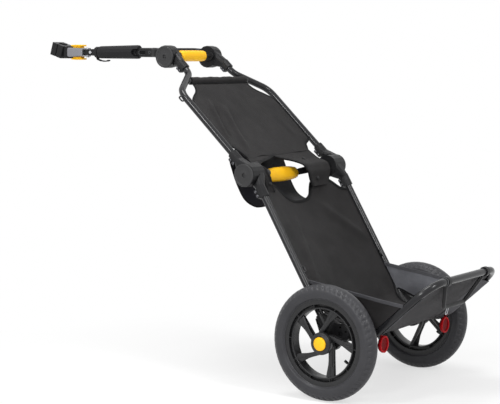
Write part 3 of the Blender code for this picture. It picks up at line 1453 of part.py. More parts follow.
def coupler(carrier, buttons):
    """The coupler: a silver housing with a fork for the link and a mouth for the tongue."""
    rear = YAW_X - CAP_EAR_RADIUS - 2 * GAP - FIT
    stations = [
        (COUPLER_FRONT_X + share * COUPLER_LENGTH, wide, tall)
        for share, wide, tall in COUPLER_STATIONS
    ]
    stations.append((rear, *COUPLER_REAR))
    path = [arm_point(x) for x, _, _ in stations]
    sections = [rounded_box(wide, tall, COUPLER_CORNER, ACROSS, UP) for _, wide, tall in stations]
    body = add_object("coupler_body", sweep(path, sections), "coupler_silver", carrier)
    radius = CAP_EAR_RADIUS
    ear = circle_outline(flat(YAW_X, 0), radius, 8, -90, 90)
    ear += [flat(rear - 2 * CHAMFER, sign * (radius + EAR_LIP)) for sign in (1, -1)]
    for k, sign in enumerate((-1, 1)):
        bm = bmesh.new()
        low, high = sorted((sign * (LINK_HALF_HEIGHT + FIT), sign * COUPLER_EAR_OUT))
        rings = [[bm.verts.new(arm_point(p[0], p[1], z)) for p in ear] for z in (low, high)]
        bridge(bm, rings)
        weld(body, add_object(f"coupler_ear_{k}", bm, carrier=carrier))
    wide, tall = TONGUE_WIDTH + 2 * TONGUE_FIT, TONGUE_TALL + 2 * TONGUE_FIT
    mouth = sweep(
        [arm_point(COUPLER_FRONT_X - PAST), arm_point(TONGUE_END_X + CHAMFER)],
        [rounded_box(wide, tall, EAR_LIP, ACROSS, UP)] * 2,
    )
    low, high = arm_point(YAW_X, 0, -PAST), arm_point(YAW_X, 0, PAST)
    yaw_bore = cylinder(low, high, YAW_PIN_RADIUS + GAP, 12)
    cut(
        body,
        add_object("coupler_mouth", mouth, carrier=carrier),
        add_object("coupler_yaw_bore", yaw_bore, carrier=carrier),
    )
    pocket_half = SQUEEZE_HALF_LENGTH + POCKET_PLAY
    for k, sign in enumerate((-1, 1)):
        line = [
            arm_point(SQUEEZE_X - pocket_half, 0, sign * POCKET_MIDDLE),
            arm_point(SQUEEZE_X + pocket_half, 0, sign * POCKET_MIDDLE),
        ]
        pocket = sweep(line, [rounded_box(POCKET_WIDTH, POCKET_DEPTH, EAR_LIP, ACROSS, UP)] * 2)
        cut(body, add_object(f"button_pocket_{k}", pocket, carrier=carrier))
    head = COUPLER_EAR_OUT + FIT
    pin = YAW_PIN_RADIUS
    profile = [
        (0.0, -head - PIN_HEAD),
        (pin + EAR_LIP, -head - PIN_HEAD),
        (pin + EAR_LIP, -head),
        (pin, -head),
        (pin, head + CHAMFER),
        (0.0, head + CHAMFER),
    ]
    add_object("yaw_pin", lathe(profile, arm_point(YAW_X), UP, 12), "steel", carrier)
    for (name, sign), button_carrier in zip((("upper", 1), ("lower", -1)), buttons):
        squeeze_button(name, sign, button_carrier)


def squeeze_button(name, sign, carrier):
    """A yellow pad on the coupler: a foot in its pocket, a neck and the pad outside."""
    half = SQUEEZE_HALF_LENGTH
    height, wide, tall, corner = SQUEEZE_FOOT
    foot_line = [arm_point(SQUEEZE_X + x, 0, sign * height) for x in (-half, half)]
    stem = sweep(foot_line, [rounded_box(wide, tall, corner, ACROSS, UP, 1)] * 2)
    stem = add_object(f"{name}_coupler_button", stem, "release_yellow", carrier)
    height, wide, tall, corner = SQUEEZE_NECK
    neck_line = [
        arm_point(SQUEEZE_X + x, 0, sign * height) for x in (-half + CHAMFER, half - CHAMFER)
    ]
    neck = sweep(neck_line, [rounded_box(wide, tall, corner, ACROSS, UP)] * 2)
    height, wide, tall, corner = SQUEEZE_PAD
    low = height - SQUEEZE_PAD_DROP
    pad_line = [
        arm_point(SQUEEZE_X - half - SQUEEZE_PAD_FRONT, 0, sign * low),
        arm_point(SQUEEZE_X, 0, sign * height),
        arm_point(SQUEEZE_X + half + SQUEEZE_PAD_REAR, 0, sign * low),
    ]
    pad = sweep(pad_line, [rounded_box(wide, tall, corner, ACROSS, UP)] * 3)
    weld(
        stem,
        add_object(f"{name}_button_neck", neck, carrier=carrier),
        add_object(f"{name}_button_pad", pad, carrier=carrier),
    )


def seat_post_clamp(carrier):
    """The receiver and its cap: two halves round the seat post, drawn together by bolts."""
    up = along(heading(90 - POST_LEAN))
    back = along(heading(-POST_LEAN))
    centre = at(flat(CLAMP_X, CLAMP_HEIGHT))
    half_tall = CLAMP_TALL / 2
    half_deep = CLAMP_DEPTH / 2
    halves = {}
    for name, sign in (("receiver", 1), ("clamp_cap", -1)):
        deep = half_deep - CLAMP_SPLIT
        outline = rounded_box(CLAMP_WIDE, deep, CLAMP_CORNER, ACROSS, back)
        middle = centre + back * (sign * (half_deep - deep / 2))
        path = [middle - up * half_tall, middle + up * half_tall]
        halves[name] = add_object(name, sweep(path, [outline] * 2), "moulded_black", carrier)
    plate_x = COUPLER_FRONT_X - ADAPTER_GAP - GAP
    adapter = sweep(
        [arm_point(plate_x - ADAPTER_SINK), arm_point(plate_x + ADAPTER_GAP)],
        [rounded_box(*ADAPTER_SECTION, ACROSS, UP)] * 2,
    )
    tongue = sweep(
        [arm_point(plate_x), arm_point(TONGUE_END_X)],
        [rounded_box(TONGUE_WIDTH, TONGUE_TALL, EAR_LIP, ACROSS, UP)] * 2,
    )
    weld(
        halves["receiver"],
        add_object("adapter_plate", adapter, carrier=carrier),
        add_object("tongue", tongue, carrier=carrier),
    )
    long = half_tall + PAST
    bore = cylinder(centre - up * long, centre + up * long, POST_DIAMETER / 2, 20)
    bore = add_object("post_bore", bore, carrier=carrier)
    for half in halves.values():
        cut(half, bore)
    for name, side in SIDES:
        head = centre - back * (half_deep - BOLT_HEAD - BOLT_SINK)
        seat = head + ACROSS * (side * CLAMP_BOLT_SPACING / 2)
        profile = [
            (0.0, -BOLT_HEAD),
            (BOLT_HEAD_RADIUS, -BOLT_HEAD),
            (BOLT_HEAD_RADIUS, 0.0),
            (BOLT_RADIUS, 0.0),
            (BOLT_RADIUS, BOLT_LENGTH),
            (0.0, BOLT_LENGTH),
        ]
        add_object(f"{name}_clamp_bolt", lathe(profile, seat, back, 12), "steel", carrier)
        way = [
            (0.0, -PAST),
            (BOLT_HEAD_RADIUS + GAP, -PAST),
            (BOLT_HEAD_RADIUS + GAP, GAP),
            (BOLT_RADIUS + GAP, GAP),
            (BOLT_RADIUS + GAP, BOLT_LENGTH + FIT),
            (0.0, BOLT_LENGTH + FIT),
        ]
        hole = add_object(f"{name}_bolt_hole", lathe(way, seat, back, 12), carrier=carrier)
        for half in halves.values():
            cut(half, hole)


# Deck


def deck_path():
    """The deck tube's centre line: back from each hinge, up the slope and across its end."""
    foot = DECK_HINGE + DECK_FORE * DECK_TUBE_START
    marks = [(foot, 1), (DECK_KNEE, 1), (DECK_END, 1)]
    marks += [(point, -side) for point, side in reversed(marks)]
    corners = [at(point, -side * DECK_HALF_WIDTH) for point, side in marks]
    bend, corner = DECK_BEND_RADIUS, DECK_CORNER_RADIUS
    return rounded_path(corners, (bend, corner, corner, bend), DECK_ARC_STEPS)


def deck(carrier):
    tube = pipe(deck_path(), TUBE_RADIUS, TUBE_WALL)
    add_object("deck_tube", tube, "frame_black", carrier)
    inner = DECK_HALF_WIDTH - DECK_HINGE_IN
    outer = FRAME_HALF_WIDTH - DECK_HINGE_OUT
    down, up = heading(DECK_LEAD - 90), heading(DECK_LEAD + 90)
    end = DECK_HINGE + DECK_FORE * DECK_HINGE_LENGTH
    for name, side in SIDES:
        outline = circle_outline(DECK_HINGE, DECK_HINGE_RADIUS, 12, 20, 250)
        outline += [end + down * DECK_HINGE_IN, end + up * DECK_HINGE_IN]
        hinge = plate(outline, side * inner, side * outer)
        hinge = add_object(f"{name}_deck_hinge", hinge, "moulded_black", carrier)
        way_line = [
            at(DECK_HINGE + DECK_FORE * (DECK_TUBE_START - FIT), side * DECK_HALF_WIDTH),
            at(DECK_HINGE + DECK_FORE * (DECK_HINGE_LENGTH + PAST), side * DECK_HALF_WIDTH),
        ]
        tube_way = pipe(way_line, TUBE_RADIUS + GAP)
        cut(hinge, add_object(f"{name}_deck_tube_way", tube_way, carrier=carrier))
        low, high = outer - DECK_PIN_SINK, FRAME_HALF_WIDTH + DECK_PIN_REACH
        pin = across_cylinder(DECK_HINGE, side * low, side * high, DECK_PIN_RADIUS, 14)
        weld(hinge, add_object(f"{name}_deck_pin", pin, carrier=carrier))


def deck_floor_surface(u, v):
    """Mid surface of the deck's floor; its edges end on the deck tube's centre line."""
    s = v * (DECK_LENGTH + FLOOR_LEAD)
    if s < FLOOR_LEAD:
        point = DECK_KNEE + DECK_FORE * (s - FLOOR_LEAD)
    else:
        point = DECK_KNEE + DECK_ALONG * (s - FLOOR_LEAD)
    ease = smooth_step(1 - abs(s - FLOOR_LEAD) / FLOOR_EASE)
    point = point + heading(90 + (DECK_LEAD + DECK_TILT) / 2) * (FLOOR_LIFT * ease)
    short = DECK_CORNER_RADIUS - (DECK_LENGTH + FLOOR_LEAD - s)
    inset = 0.0
    if short > 0:
        inset = DECK_CORNER_RADIUS - math.sqrt(max(DECK_CORNER_RADIUS**2 - short**2, 0.0))
    return at(point, (DECK_HALF_WIDTH - inset) * (2 * u - 1))


def deck_floor(carrier):
    floor = add_object(
        "deck_floor",
        sheet(deck_floor_surface, 5, 9, FABRIC),
        "fabric_grey",
        carrier,
    )
    tube_way = add_object(
        "floor_tube_way", pipe(deck_path(), TUBE_RADIUS + GAP), carrier=carrier
    )
    eye_ways = [
        add_object(
            f"{name}_floor_eye_way",
            across_cylinder(
                DECK_END,
                side * (FOOT_HALF_TOP - FOOT_EYE_WIDTH / 2 - FLOOR_NOTCH_PLAY),
                side * (FOOT_HALF_TOP + FOOT_EYE_WIDTH / 2 + FLOOR_NOTCH_PLAY),
                TUBE_RADIUS + FOOT_EYE_WALL + FOOT_ROD / 2 + GAP,
            ),
            carrier=carrier,
        )
        for name, side in SIDES
    ]
    cut(floor, tube_way, *eye_ways)


def reflectors(carrier):
    """Two round red reflectors that hang from the deck's tube, each by its tab."""
    radius = REFLECTOR_DIAMETER / 2
    profile = [(0.0, REFLECTOR_BACK)]
    profile += [(radius - inset, height) for inset, height in REFLECTOR_EDGE]
    profile.append((0.0, REFLECTOR_FACE))
    back = Vector((1, 0, 0))
    for name, side in SIDES:
        centre = at(AXLE + flat(*REFLECTOR_PLACE), side * (DECK_HALF_WIDTH - REFLECTOR_INSET))
        lens = lathe(profile, centre, back, 12)
        lens = add_object(f"{name}_reflector", lens, "reflector_red", carrier)
        tab_line = [centre + Vector((0, side * y, z)) for y, z in REFLECTOR_TAB]
        tab = sweep(tab_line, [rounded_box(*REFLECTOR_TAB_SECTION, back, ACROSS)] * 3)
        weld(lens, add_object(f"{name}_reflector_tab", tab, carrier=carrier))
        tube_line = [
            at(DECK_KNEE - DECK_ALONG * PAST, side * DECK_HALF_WIDTH),
            at(DECK_END, side * DECK_HALF_WIDTH),
        ]
        clear = pipe(tube_line, TUBE_RADIUS + GAP)
        cut(lens, add_object(f"{name}_tab_clearance", clear, carrier=carrier))


def foot(carrier):
    """The flip-down foot: a bent rod whose eyes turn on the deck's rear crossbar."""
    down = heading(FOOT_DIRECTION)
    low = DECK_END + down * FOOT_REACH
    start = DECK_END + down * (TUBE_RADIUS + FOOT_EYE_WALL)
    corners = [
        at(start, -FOOT_HALF_TOP),
        at(low, -FOOT_HALF_BOTTOM),
        at(low, FOOT_HALF_BOTTOM),
        at(start, FOOT_HALF_TOP),
    ]
    rod = add_object(
        "kickstand_foot",
        pipe(rounded_path(corners, (FOOT_BEND_RADIUS,) * 2, 2), FOOT_ROD / 2, sides=8),
        "frame_black",
        carrier,
    )
    for name, side in SIDES:
        inner = TUBE_RADIUS + GAP
        eye = add_object(
            f"{name}_foot_eye",
            lathe(
                [
                    (inner, -FOOT_EYE_WIDTH / 2),
                    (inner, FOOT_EYE_WIDTH / 2),
                    (inner + FOOT_EYE_WALL, FOOT_EYE_WIDTH / 2),
                    (inner + FOOT_EYE_WALL, -FOOT_EYE_WIDTH / 2),
                ],
                at(DECK_END, side * FOOT_HALF_TOP),
                ACROSS,
                14,
            ),
            carrier=carrier,
        )
        weld(rod, eye)


# Fabric


def lower_panel_point(s, y):
    """The lower panel, hung forward from the tubes: s is the distance up from the axle."""
    share = 1 - (y / PANEL_EDGE) ** 2
    height = (s - PANEL_KNEE) / (LOWER_LENGTH - PANEL_KNEE)
    sag = LOWER_SAG * share * (SAG_AT_KNEE + (1 - SAG_AT_KNEE) * smooth_step(height))
    return AXLE + LOWER_UP * s + LOWER_FRONT * sag


def lower_panel_surface(u, v):
    """The lower panel: slung between the lower tubes, then turning back towards the deck."""
    y = (2 * u - 1) * PANEL_EDGE
    out = abs(y)
    ear = smooth_step((out - SCOOP_HALF_WIDTH) / SCOOP_SHOULDER)
    fall = smooth_step((out - EAR_FALL_START) / (PANEL_EDGE - EAR_FALL_START))
    top = LOWER_LENGTH - LOWER_TOP + EAR_RISE * ear - EAR_FALL * fall
    s = top - v * (top - PANEL_KNEE + KNEE_TURN)
    if s >= PANEL_KNEE:
        point = lower_panel_point(s, y)
    else:
        angle = (PANEL_KNEE - s) / KNEE_RADIUS
        knee = AXLE + LOWER_UP * PANEL_KNEE
        centre = knee - LOWER_FRONT * KNEE_RADIUS
        point = centre + heading(180 + LOWER_LEAN + math.degrees(angle)) * KNEE_RADIUS
        left = lower_panel_point(PANEL_KNEE, y) - knee
        point = point + left * max(0.0, 1 - angle)
    draw_in = smooth_step((1.67 * PANEL_KNEE - s) / (1.28 * PANEL_KNEE))
    return at(point, y * (1 - KNEE_DRAW_IN * draw_in))


def upper_panel_point(s, y):
    """The upper panel, a little hollow: s is the distance up from the mid pivot."""
    share = 1 - (y / PANEL_EDGE) ** 2
    top = CROSSBAR_AT - CROSSBAR_DIAMETER / 2
    sag = UPPER_SAG * max(share, 0.0) * smooth_step((top - s) / top * 1.3)
    return UPPER_LINE + UPPER_UP * s - UPPER_REAR * sag


def upper_panel_surface(u, v):
    """The upper panel: from the arch over the grip to the hem at the crossbar."""
    side = 2 * u - 1
    out = abs(side) * PANEL_EDGE
    top = CROSSBAR_AT - CROSSBAR_DIAMETER / 2 - 2 * GAP
    tab = smooth_step((out - ARCH_FLAT) / (ARCH_HALF_WIDTH - ARCH_FLAT))
    corner = smooth_step((out - TAB_CORNER) / (PANEL_EDGE - TAB_CORNER))
    bottom = ARCH_TOP + (TAB_END - ARCH_TOP) * tab + (SIDE_START - TAB_END) * corner
    s = bottom + v * (top - bottom)
    scoop = smooth_step((s - CROSSBAR_AT + NECK_SCOOP) / NECK_SCOOP_LENGTH)
    edge = PANEL_EDGE + (NECK_HALF_WIDTH + NECK_SCOOP_EDGE - PANEL_EDGE) * scoop
    return at(upper_panel_point(s, side * edge), side * edge)


def front_guard_surface(u, v):
    """The loop of fabric before the mid joint, from the upper panel round to the lower."""
    half = GUARD_HALF_WIDTH - GUARD_WAIST * smooth_step(abs(2 * v - 1) - GUARD_STRAIGHT)
    y = half * (2 * u - 1)
    stand_off = FABRIC + GAP
    marks = [upper_panel_point(GUARD_START, y) - UPPER_REAR * stand_off]
    marks += [MID_PIVOT + flat(*mark) for mark in GUARD_LOOP]
    landing = lower_panel_point(LOWER_LENGTH - GUARD_END, y)
    marks.append(landing + LOWER_FRONT * (stand_off - 2 * GAP))
    place = v * (len(marks) - 1)
    k = min(int(place), len(marks) - 2)
    t = place - k
    a, b, c, d = [marks[max(0, min(len(marks) - 1, k + n))] for n in (-1, 0, 1, 2)]
    point = 0.5 * (
        2 * b
        + (c - a) * t
        + (2 * a - 5 * b + 4 * c - d) * t**2
        + (3 * b - a - 3 * c + d) * t**3
    )
    return at(point, y)


def gusset_outline():
    """A side gusset: hem above, the lower tube in front and the deck's tube behind."""
    lift = heading(DECK_TILT + 90) * (TUBE_RADIUS * GUSSET_LIFT)
    seam = -LOWER_FRONT * (FABRIC / 2 + GUSSET_THICKNESS / 2)
    high, low = GUSSET_ON_TUBE
    start, end = GUSSET_ON_DECK
    outline = [AXLE + LOWER_UP * high + seam, AXLE + LOWER_UP * low + seam]
    outline += [AXLE + flat(*mark) for mark in GUSSET_LOWER_EDGE]
    outline += [DECK_KNEE + DECK_ALONG * start + lift, DECK_KNEE + DECK_ALONG * end + lift]
    outline += [AXLE + flat(*mark) for mark in GUSSET_HEM]
    return outline


def fabric(lower, upper, deck_body):
    panel = sheet(lower_panel_surface, 12, 9, FABRIC)
    add_object("lower_fabric_panel", panel, "fabric_black", lower)
    panel = sheet(upper_panel_surface, 16, 7, FABRIC)
    add_object("upper_fabric_panel", panel, "fabric_black", upper)
    guard = sheet(front_guard_surface, 6, 9, FABRIC)
    add_object("front_guard", guard, "fabric_grey", lower)
    outer = FRAME_HALF_WIDTH - TUBE_RADIUS * math.cos(math.pi / TUBE_SIDES) - GAP
    inner = outer - GUSSET_THICKNESS
    for name, side in SIDES:
        gusset = plate(gusset_outline(), side * inner, side * outer)
        add_object(f"{name}_gusset", gusset, "fabric_grey", deck_body)


def main():
    clear_scene()
    lower = joint_empty("lower_frame_body", at(AXLE))
    upper = joint_empty("upper_frame_body", at(MID_PIVOT))
    arm = joint_empty("tow_arm_body", at(TOP_PIVOT))
    mid_lever = joint_empty("mid_release_body", at(MID_PIVOT))
    top_lever = joint_empty("top_release_body", at(TOP_PIVOT))
    link = joint_empty("hitch_link_body", at(flat(PITCH_X, ARM_HEIGHT)))
    coupler_body = joint_empty("coupler_empty", at(flat(YAW_X, ARM_HEIGHT)))
    upper_button = joint_empty("upper_button_body", at(flat(SQUEEZE_X, ARM_HEIGHT + PAST)))
    lower_button = joint_empty("lower_button_body", at(flat(SQUEEZE_X, ARM_HEIGHT - PAST)))
    clamp = joint_empty("receiver_body", at(flat(CLAMP_X, CLAMP_HEIGHT)))
    deck_body = joint_empty("deck_body", at(DECK_HINGE))
    foot_body = joint_empty("foot_body", at(DECK_END))
    lower_tubes(lower)
    axle_and_brackets(lower)
    upper_tubes(upper)
    mid_knuckles(lower, upper)
    top_knuckles(upper)
    mid_release(mid_lever)
    top_release(top_lever)
    tow_arm(arm)
    hitch_link(link)
    coupler(coupler_body, (upper_button, lower_button))
    seat_post_clamp(clamp)
    deck(deck_body)
    deck_floor(deck_body)
    reflectors(deck_body)
    foot(foot_body)
    fabric(lower, upper, deck_body)
    for name, side in SIDES:
        place = at(AXLE, side * TRACK / 2)
        wheel_body = joint_empty(f"{name}_wheel_body", place)
        button_body = joint_empty(f"{name}_button_body", place)
        wheel(name, side, wheel_body, lower, button_body)


main()
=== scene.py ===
# %% [markdown]
# This script dresses a folding bike cargo trailer. The construction already exists as a fixed
# frame of real solids. Here each surface gets its finish, and the cloth, the tyres, the wheels
# and the moulded pieces are modelled finely over that frame. Their places are measured from
# the frame's own marks: the axle, the fold pivots and the boxes of its nodes.

import json
import math

import bpy
from mathutils import Matrix, Vector, noise

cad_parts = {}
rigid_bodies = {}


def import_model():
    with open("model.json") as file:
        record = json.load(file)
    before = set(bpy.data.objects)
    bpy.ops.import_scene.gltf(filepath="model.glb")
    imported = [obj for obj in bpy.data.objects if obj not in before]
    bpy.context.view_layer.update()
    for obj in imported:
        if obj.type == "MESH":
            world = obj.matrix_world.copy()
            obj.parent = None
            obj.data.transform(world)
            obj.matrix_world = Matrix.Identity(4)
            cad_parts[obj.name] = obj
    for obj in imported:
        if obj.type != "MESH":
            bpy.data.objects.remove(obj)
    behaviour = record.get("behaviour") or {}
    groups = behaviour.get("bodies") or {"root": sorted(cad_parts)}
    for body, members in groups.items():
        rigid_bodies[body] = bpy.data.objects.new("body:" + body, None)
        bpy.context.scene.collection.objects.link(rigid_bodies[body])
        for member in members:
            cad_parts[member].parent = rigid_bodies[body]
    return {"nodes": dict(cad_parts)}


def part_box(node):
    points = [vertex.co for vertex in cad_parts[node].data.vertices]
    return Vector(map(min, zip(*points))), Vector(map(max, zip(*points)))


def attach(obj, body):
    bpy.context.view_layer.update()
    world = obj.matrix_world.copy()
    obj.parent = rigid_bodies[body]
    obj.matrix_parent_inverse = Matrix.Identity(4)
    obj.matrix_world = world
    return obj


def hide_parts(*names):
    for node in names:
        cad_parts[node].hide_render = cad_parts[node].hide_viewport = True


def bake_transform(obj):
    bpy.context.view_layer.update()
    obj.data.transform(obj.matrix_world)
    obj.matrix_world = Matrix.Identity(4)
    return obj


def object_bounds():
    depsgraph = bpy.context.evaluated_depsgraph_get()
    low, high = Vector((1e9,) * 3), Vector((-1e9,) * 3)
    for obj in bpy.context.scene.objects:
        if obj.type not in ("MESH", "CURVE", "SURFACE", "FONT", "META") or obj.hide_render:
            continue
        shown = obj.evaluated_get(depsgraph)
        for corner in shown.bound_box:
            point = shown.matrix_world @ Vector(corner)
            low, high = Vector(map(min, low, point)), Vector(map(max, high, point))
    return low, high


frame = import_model()
frame_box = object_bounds()
nodes = frame["nodes"]


def measured(values, digits=3):
    """The numbers of a place or a size in metres, rounded for printing."""
    return [round(value, digits) for value in values]


print("nodes in the frame:", len(nodes))
print("box of the frame:", [measured(corner) for corner in frame_box])

# %% [markdown]
# The camera stands low behind the trailer's left side, a good way off with a long lens, so
# that the parallel tubes stay almost parallel. Its place is given in the frame's metres.

# %% Camera
PHOTO_WIDTH = 500
FOCAL_PIXELS = 1477.0
SENSOR_WIDTH = 36.0
CAMERA_PLACE = Vector((3.030, -3.380, -0.010))
CAMERA_YAW = math.radians(34.63)
CAMERA_PITCH = math.radians(-5.71)
CAMERA_ROLL = math.radians(-0.24)
FARTHEST_SEEN = 60.0

bpy.ops.object.select_all(action="DESELECT")
bpy.ops.object.camera_add(location=CAMERA_PLACE)
camera = bpy.context.object
camera.name = "camera"
turn = Matrix.Rotation(CAMERA_YAW, 3, "Z") @ Matrix.Rotation(math.pi / 2 + CAMERA_PITCH, 3, "X")
turn = turn @ Matrix.Rotation(-CAMERA_ROLL, 3, "Z")
camera.rotation_euler = turn.to_euler()
camera.data.sensor_width = SENSOR_WIDTH
camera.data.lens = SENSOR_WIDTH * FOCAL_PIXELS / PHOTO_WIDTH
camera.data.clip_end = FARTHEST_SEEN
bpy.context.scene.camera = camera
print("lens:", round(camera.data.lens, 1), "mm")

# %% [markdown]
# Every material is a small tree of nodes. These helpers start a tree and add to it. A value
# that is the same all over a surface is set on the shader itself, which keeps it readable.

# %% Helpers for nodes
WHITE = (1, 1, 1)


def start_finish(name, colour, roughness, metallic=0.0, gloss=0.5):
    material = bpy.data.materials.new(name)
    material.use_nodes = True
    tree = material.node_tree
    shader = tree.nodes["Principled BSDF"]
    shader.inputs["Base Color"].default_value = (*colour, 1)
    shader.inputs["Roughness"].default_value = roughness
    shader.inputs["Metallic"].default_value = metallic
    shader.inputs["Specular IOR Level"].default_value = gloss
    return material, tree, shader


def add_node(tree, kind, **values):
    """A new node. In the names of its sockets an underscore stands for a space."""
    node = tree.nodes.new(kind)
    for name, value in values.items():
        node.inputs[name.replace("_", " ")].default_value = value
    return node


def calculate(tree, operation, first, second):
    node = add_node(tree, "ShaderNodeMath")
    node.operation = operation
    tree.links.new(first, node.inputs[0])
    tree.links.new(second, node.inputs[1])
    return node.outputs[0]


def mix_shaders(tree, factor, first, second, output):
    mix = add_node(tree, "ShaderNodeMixShader")
    tree.links.new(factor, mix.inputs[0])
    tree.links.new(first.outputs[0], mix.inputs[1])
    tree.links.new(second.outputs[0], mix.inputs[2])
    tree.links.new(mix.outputs[0], tree.nodes[output].inputs["Surface"])


# %% [markdown]
# The trailer stands on a white sweep. The floor near it is a plain diffuse white that keeps
# the soft shadow. Further off it fades into a white that the camera sees at full strength, and
# so does the world, so no horizon shows behind the trailer. More light could whiten the floor
# too, but it would wash out the trailer. This white only meets the rays of the camera, of
# gloss and of glass, so it adds no light to the trailer.

# %% Floor and world
FLOOR_GAP = 0.0002
FLOOR_HEIGHT = frame_box[0].z - FLOOR_GAP
FLOOR_SIZE = 40.0
FLOOR_COLOUR = (0.93, 0.93, 0.93)
FADE_CENTRE = (0.85, 0.05, FLOOR_HEIGHT)
FADE_START = 0.35
FADE_END = 1.05
SHADOW_CLEARED = 0.62
WORLD_LIGHT = 0.40


def seen_directly(tree):
    """A factor that is 1 for rays from the camera, gloss and glass, and 0 for light."""
    rays = add_node(tree, "ShaderNodeLightPath").outputs
    seen = calculate(tree, "MAXIMUM", rays["Is Camera Ray"], rays["Is Glossy Ray"])
    return calculate(tree, "MAXIMUM", seen, rays["Is Transmission Ray"])


def add_floor():
    bpy.ops.object.select_all(action="DESELECT")
    bpy.ops.mesh.primitive_plane_add(size=FLOOR_SIZE, location=(0, 0, FLOOR_HEIGHT))
    bpy.ops.object.transform_apply(location=True, rotation=False, scale=False)
    floor = bpy.context.object
    floor.name = "floor"
    material, tree, shader = start_finish("white_sweep", FLOOR_COLOUR, 0.9, gloss=0.1)
    glow = add_node(tree, "ShaderNodeEmission", Strength=1.0)
    place = add_node(tree, "ShaderNodeTexCoord")
    distance = add_node(tree, "ShaderNodeVectorMath")
    distance.operation = "DISTANCE"
    distance.inputs[1].default_value = FADE_CENTRE
    fade = add_node(
        tree, "ShaderNodeMapRange", From_Min=FADE_START, From_Max=FADE_END, To_Min=SHADOW_CLEARED
    )
    fade.interpolation_type = "SMOOTHSTEP"
    tree.links.new(place.outputs["Object"], distance.inputs[0])
    tree.links.new(distance.outputs["Value"], fade.inputs["Value"])
    shown = calculate(tree, "MULTIPLY", fade.outputs["Result"], seen_directly(tree))
    mix_shaders(tree, shown, shader, glow, "Material Output")
    floor.data.materials.append(material)
    return floor


def add_world(strength):
    world = bpy.data.worlds.new("studio")
    bpy.context.scene.world = world
    world.use_nodes = True
    tree = world.node_tree
    light = tree.nodes["Background"]
    light.inputs["Color"].default_value = (*WHITE, 1)
    light.inputs["Strength"].default_value = strength
    white = add_node(tree, "ShaderNodeBackground", Color=(*WHITE, 1), Strength=1.0)
    mix_shaders(tree, seen_directly(tree), light, white, "World Output")


print("floor:", measured(add_floor().dimensions))
add_world(WORLD_LIGHT)

# %% [markdown]
# Four large soft lamps light the trailer, as in a studio: two key lamps from the camera's side,
# one from above and one from behind. A sun would be simpler, but only a wide lamp draws the
# long soft highlight along a round tube.

# %% Lamps
SOFTBOXES = (
    ("top_softbox", (0.5, -0.5, 2.4), (0.7, 0.0, -0.4), (1.1, 1.1), 46),
    ("low_key_softbox", (1.75, -3.0, 0.62), (0.9, 0.0, -0.5), (0.45, 0.9), 27),
    ("high_key_softbox", (0.6, -2.6, 1.75), (0.7, 0.0, -0.3), (0.5, 0.9), 34),
    ("rear_softbox", (3.6, -0.6, 1.4), (0.9, 0.0, -0.5), (0.6, 1.4), 40),
)


def add_softbox(name, place, target, size, watts):
    bpy.ops.object.light_add(type="AREA", location=place)
    lamp = bpy.context.object
    lamp.name = name
    lamp.data.shape = "RECTANGLE"
    lamp.data.size, lamp.data.size_y = size
    lamp.data.energy = watts
    aim = Vector(target) - Vector(place)
    lamp.rotation_euler = aim.to_track_quat("-Z", "Y").to_euler()


for softbox in SOFTBOXES:
    add_softbox(*softbox)
bpy.context.scene.view_settings.view_transform = "Standard"
print("lamps:", len(SOFTBOXES))

# %% [markdown]
# Finishes come next. Each real surface has a grain: moulded plastic a fine sparkle of pits,
# paint a faint orange peel, cloth its crossing yarns. They are built from noise, Voronoi and
# wave patterns on the piece's own coordinates in metres, so that the scale is the real one,
# and a small bump carries the grain into the light. A Bevel node lets hard edges catch light
# as moulded and cast edges do.

# %% Helpers for finishes
MILLIMETRE = 0.001
BEVEL_SAMPLES = 4


def coordinates(tree, source="Object", stretch=(1, 1, 1)):
    place = add_node(tree, "ShaderNodeTexCoord")
    mapping = add_node(tree, "ShaderNodeMapping", Scale=stretch)
    tree.links.new(place.outputs[source], mapping.inputs["Vector"])
    return mapping.outputs["Vector"]


def noise_pattern(tree, vector, size, detail=2.0, rough=0.5):
    """Cloudy noise whose lumps are about size metres across."""
    node = add_node(tree, "ShaderNodeTexNoise", Scale=1 / size, Detail=detail, Roughness=rough)
    tree.links.new(vector, node.inputs["Vector"])
    return node.outputs["Fac"]


def graded(tree, value, low, high, to_low, to_high):
    """Stretches the part of a value between low and high to a new range."""
    node = add_node(
        tree, "ShaderNodeMapRange", From_Min=low, From_Max=high, To_Min=to_low, To_Max=to_high
    )
    tree.links.new(value, node.inputs["Value"])
    return node.outputs["Result"]


def two_colours(tree, value, first, second):
    node = add_node(tree, "ShaderNodeMix")
    node.data_type = "RGBA"
    node.inputs["A"].default_value = (*first, 1)
    node.inputs["B"].default_value = (*second, 1)
    tree.links.new(value, node.inputs["Factor"])
    return node.outputs["Result"]


def raise_grain(tree, shader, height, depth, edge=0.0):
    """Bump of the given depth in metres, over normals rounded at edges by the radius edge."""
    bump = add_node(tree, "ShaderNodeBump", Distance=depth)
    tree.links.new(height, bump.inputs["Height"])
    if edge:
        bevel = add_node(tree, "ShaderNodeBevel", Radius=edge)
        bevel.samples = BEVEL_SAMPLES
        tree.links.new(bevel.outputs["Normal"], bump.inputs["Normal"])
    tree.links.new(bump.outputs["Normal"], shader.inputs["Normal"])


def shade(colour, factor):
    return tuple(min(1.0, value * factor) for value in colour)


# %% [markdown]
# Painted tube has a thin black powder coat. It is smooth and half glossy, with a long soft
# orange peel and a little dust, so the roughness wanders while the colour hardly changes.
# Moulded plastic has the pits of its mould's texture, flow marks and paler rubbed high spots.
# Metal is brushed: the same noise, drawn out in one direction.

# %% Painted, moulded and metal finishes


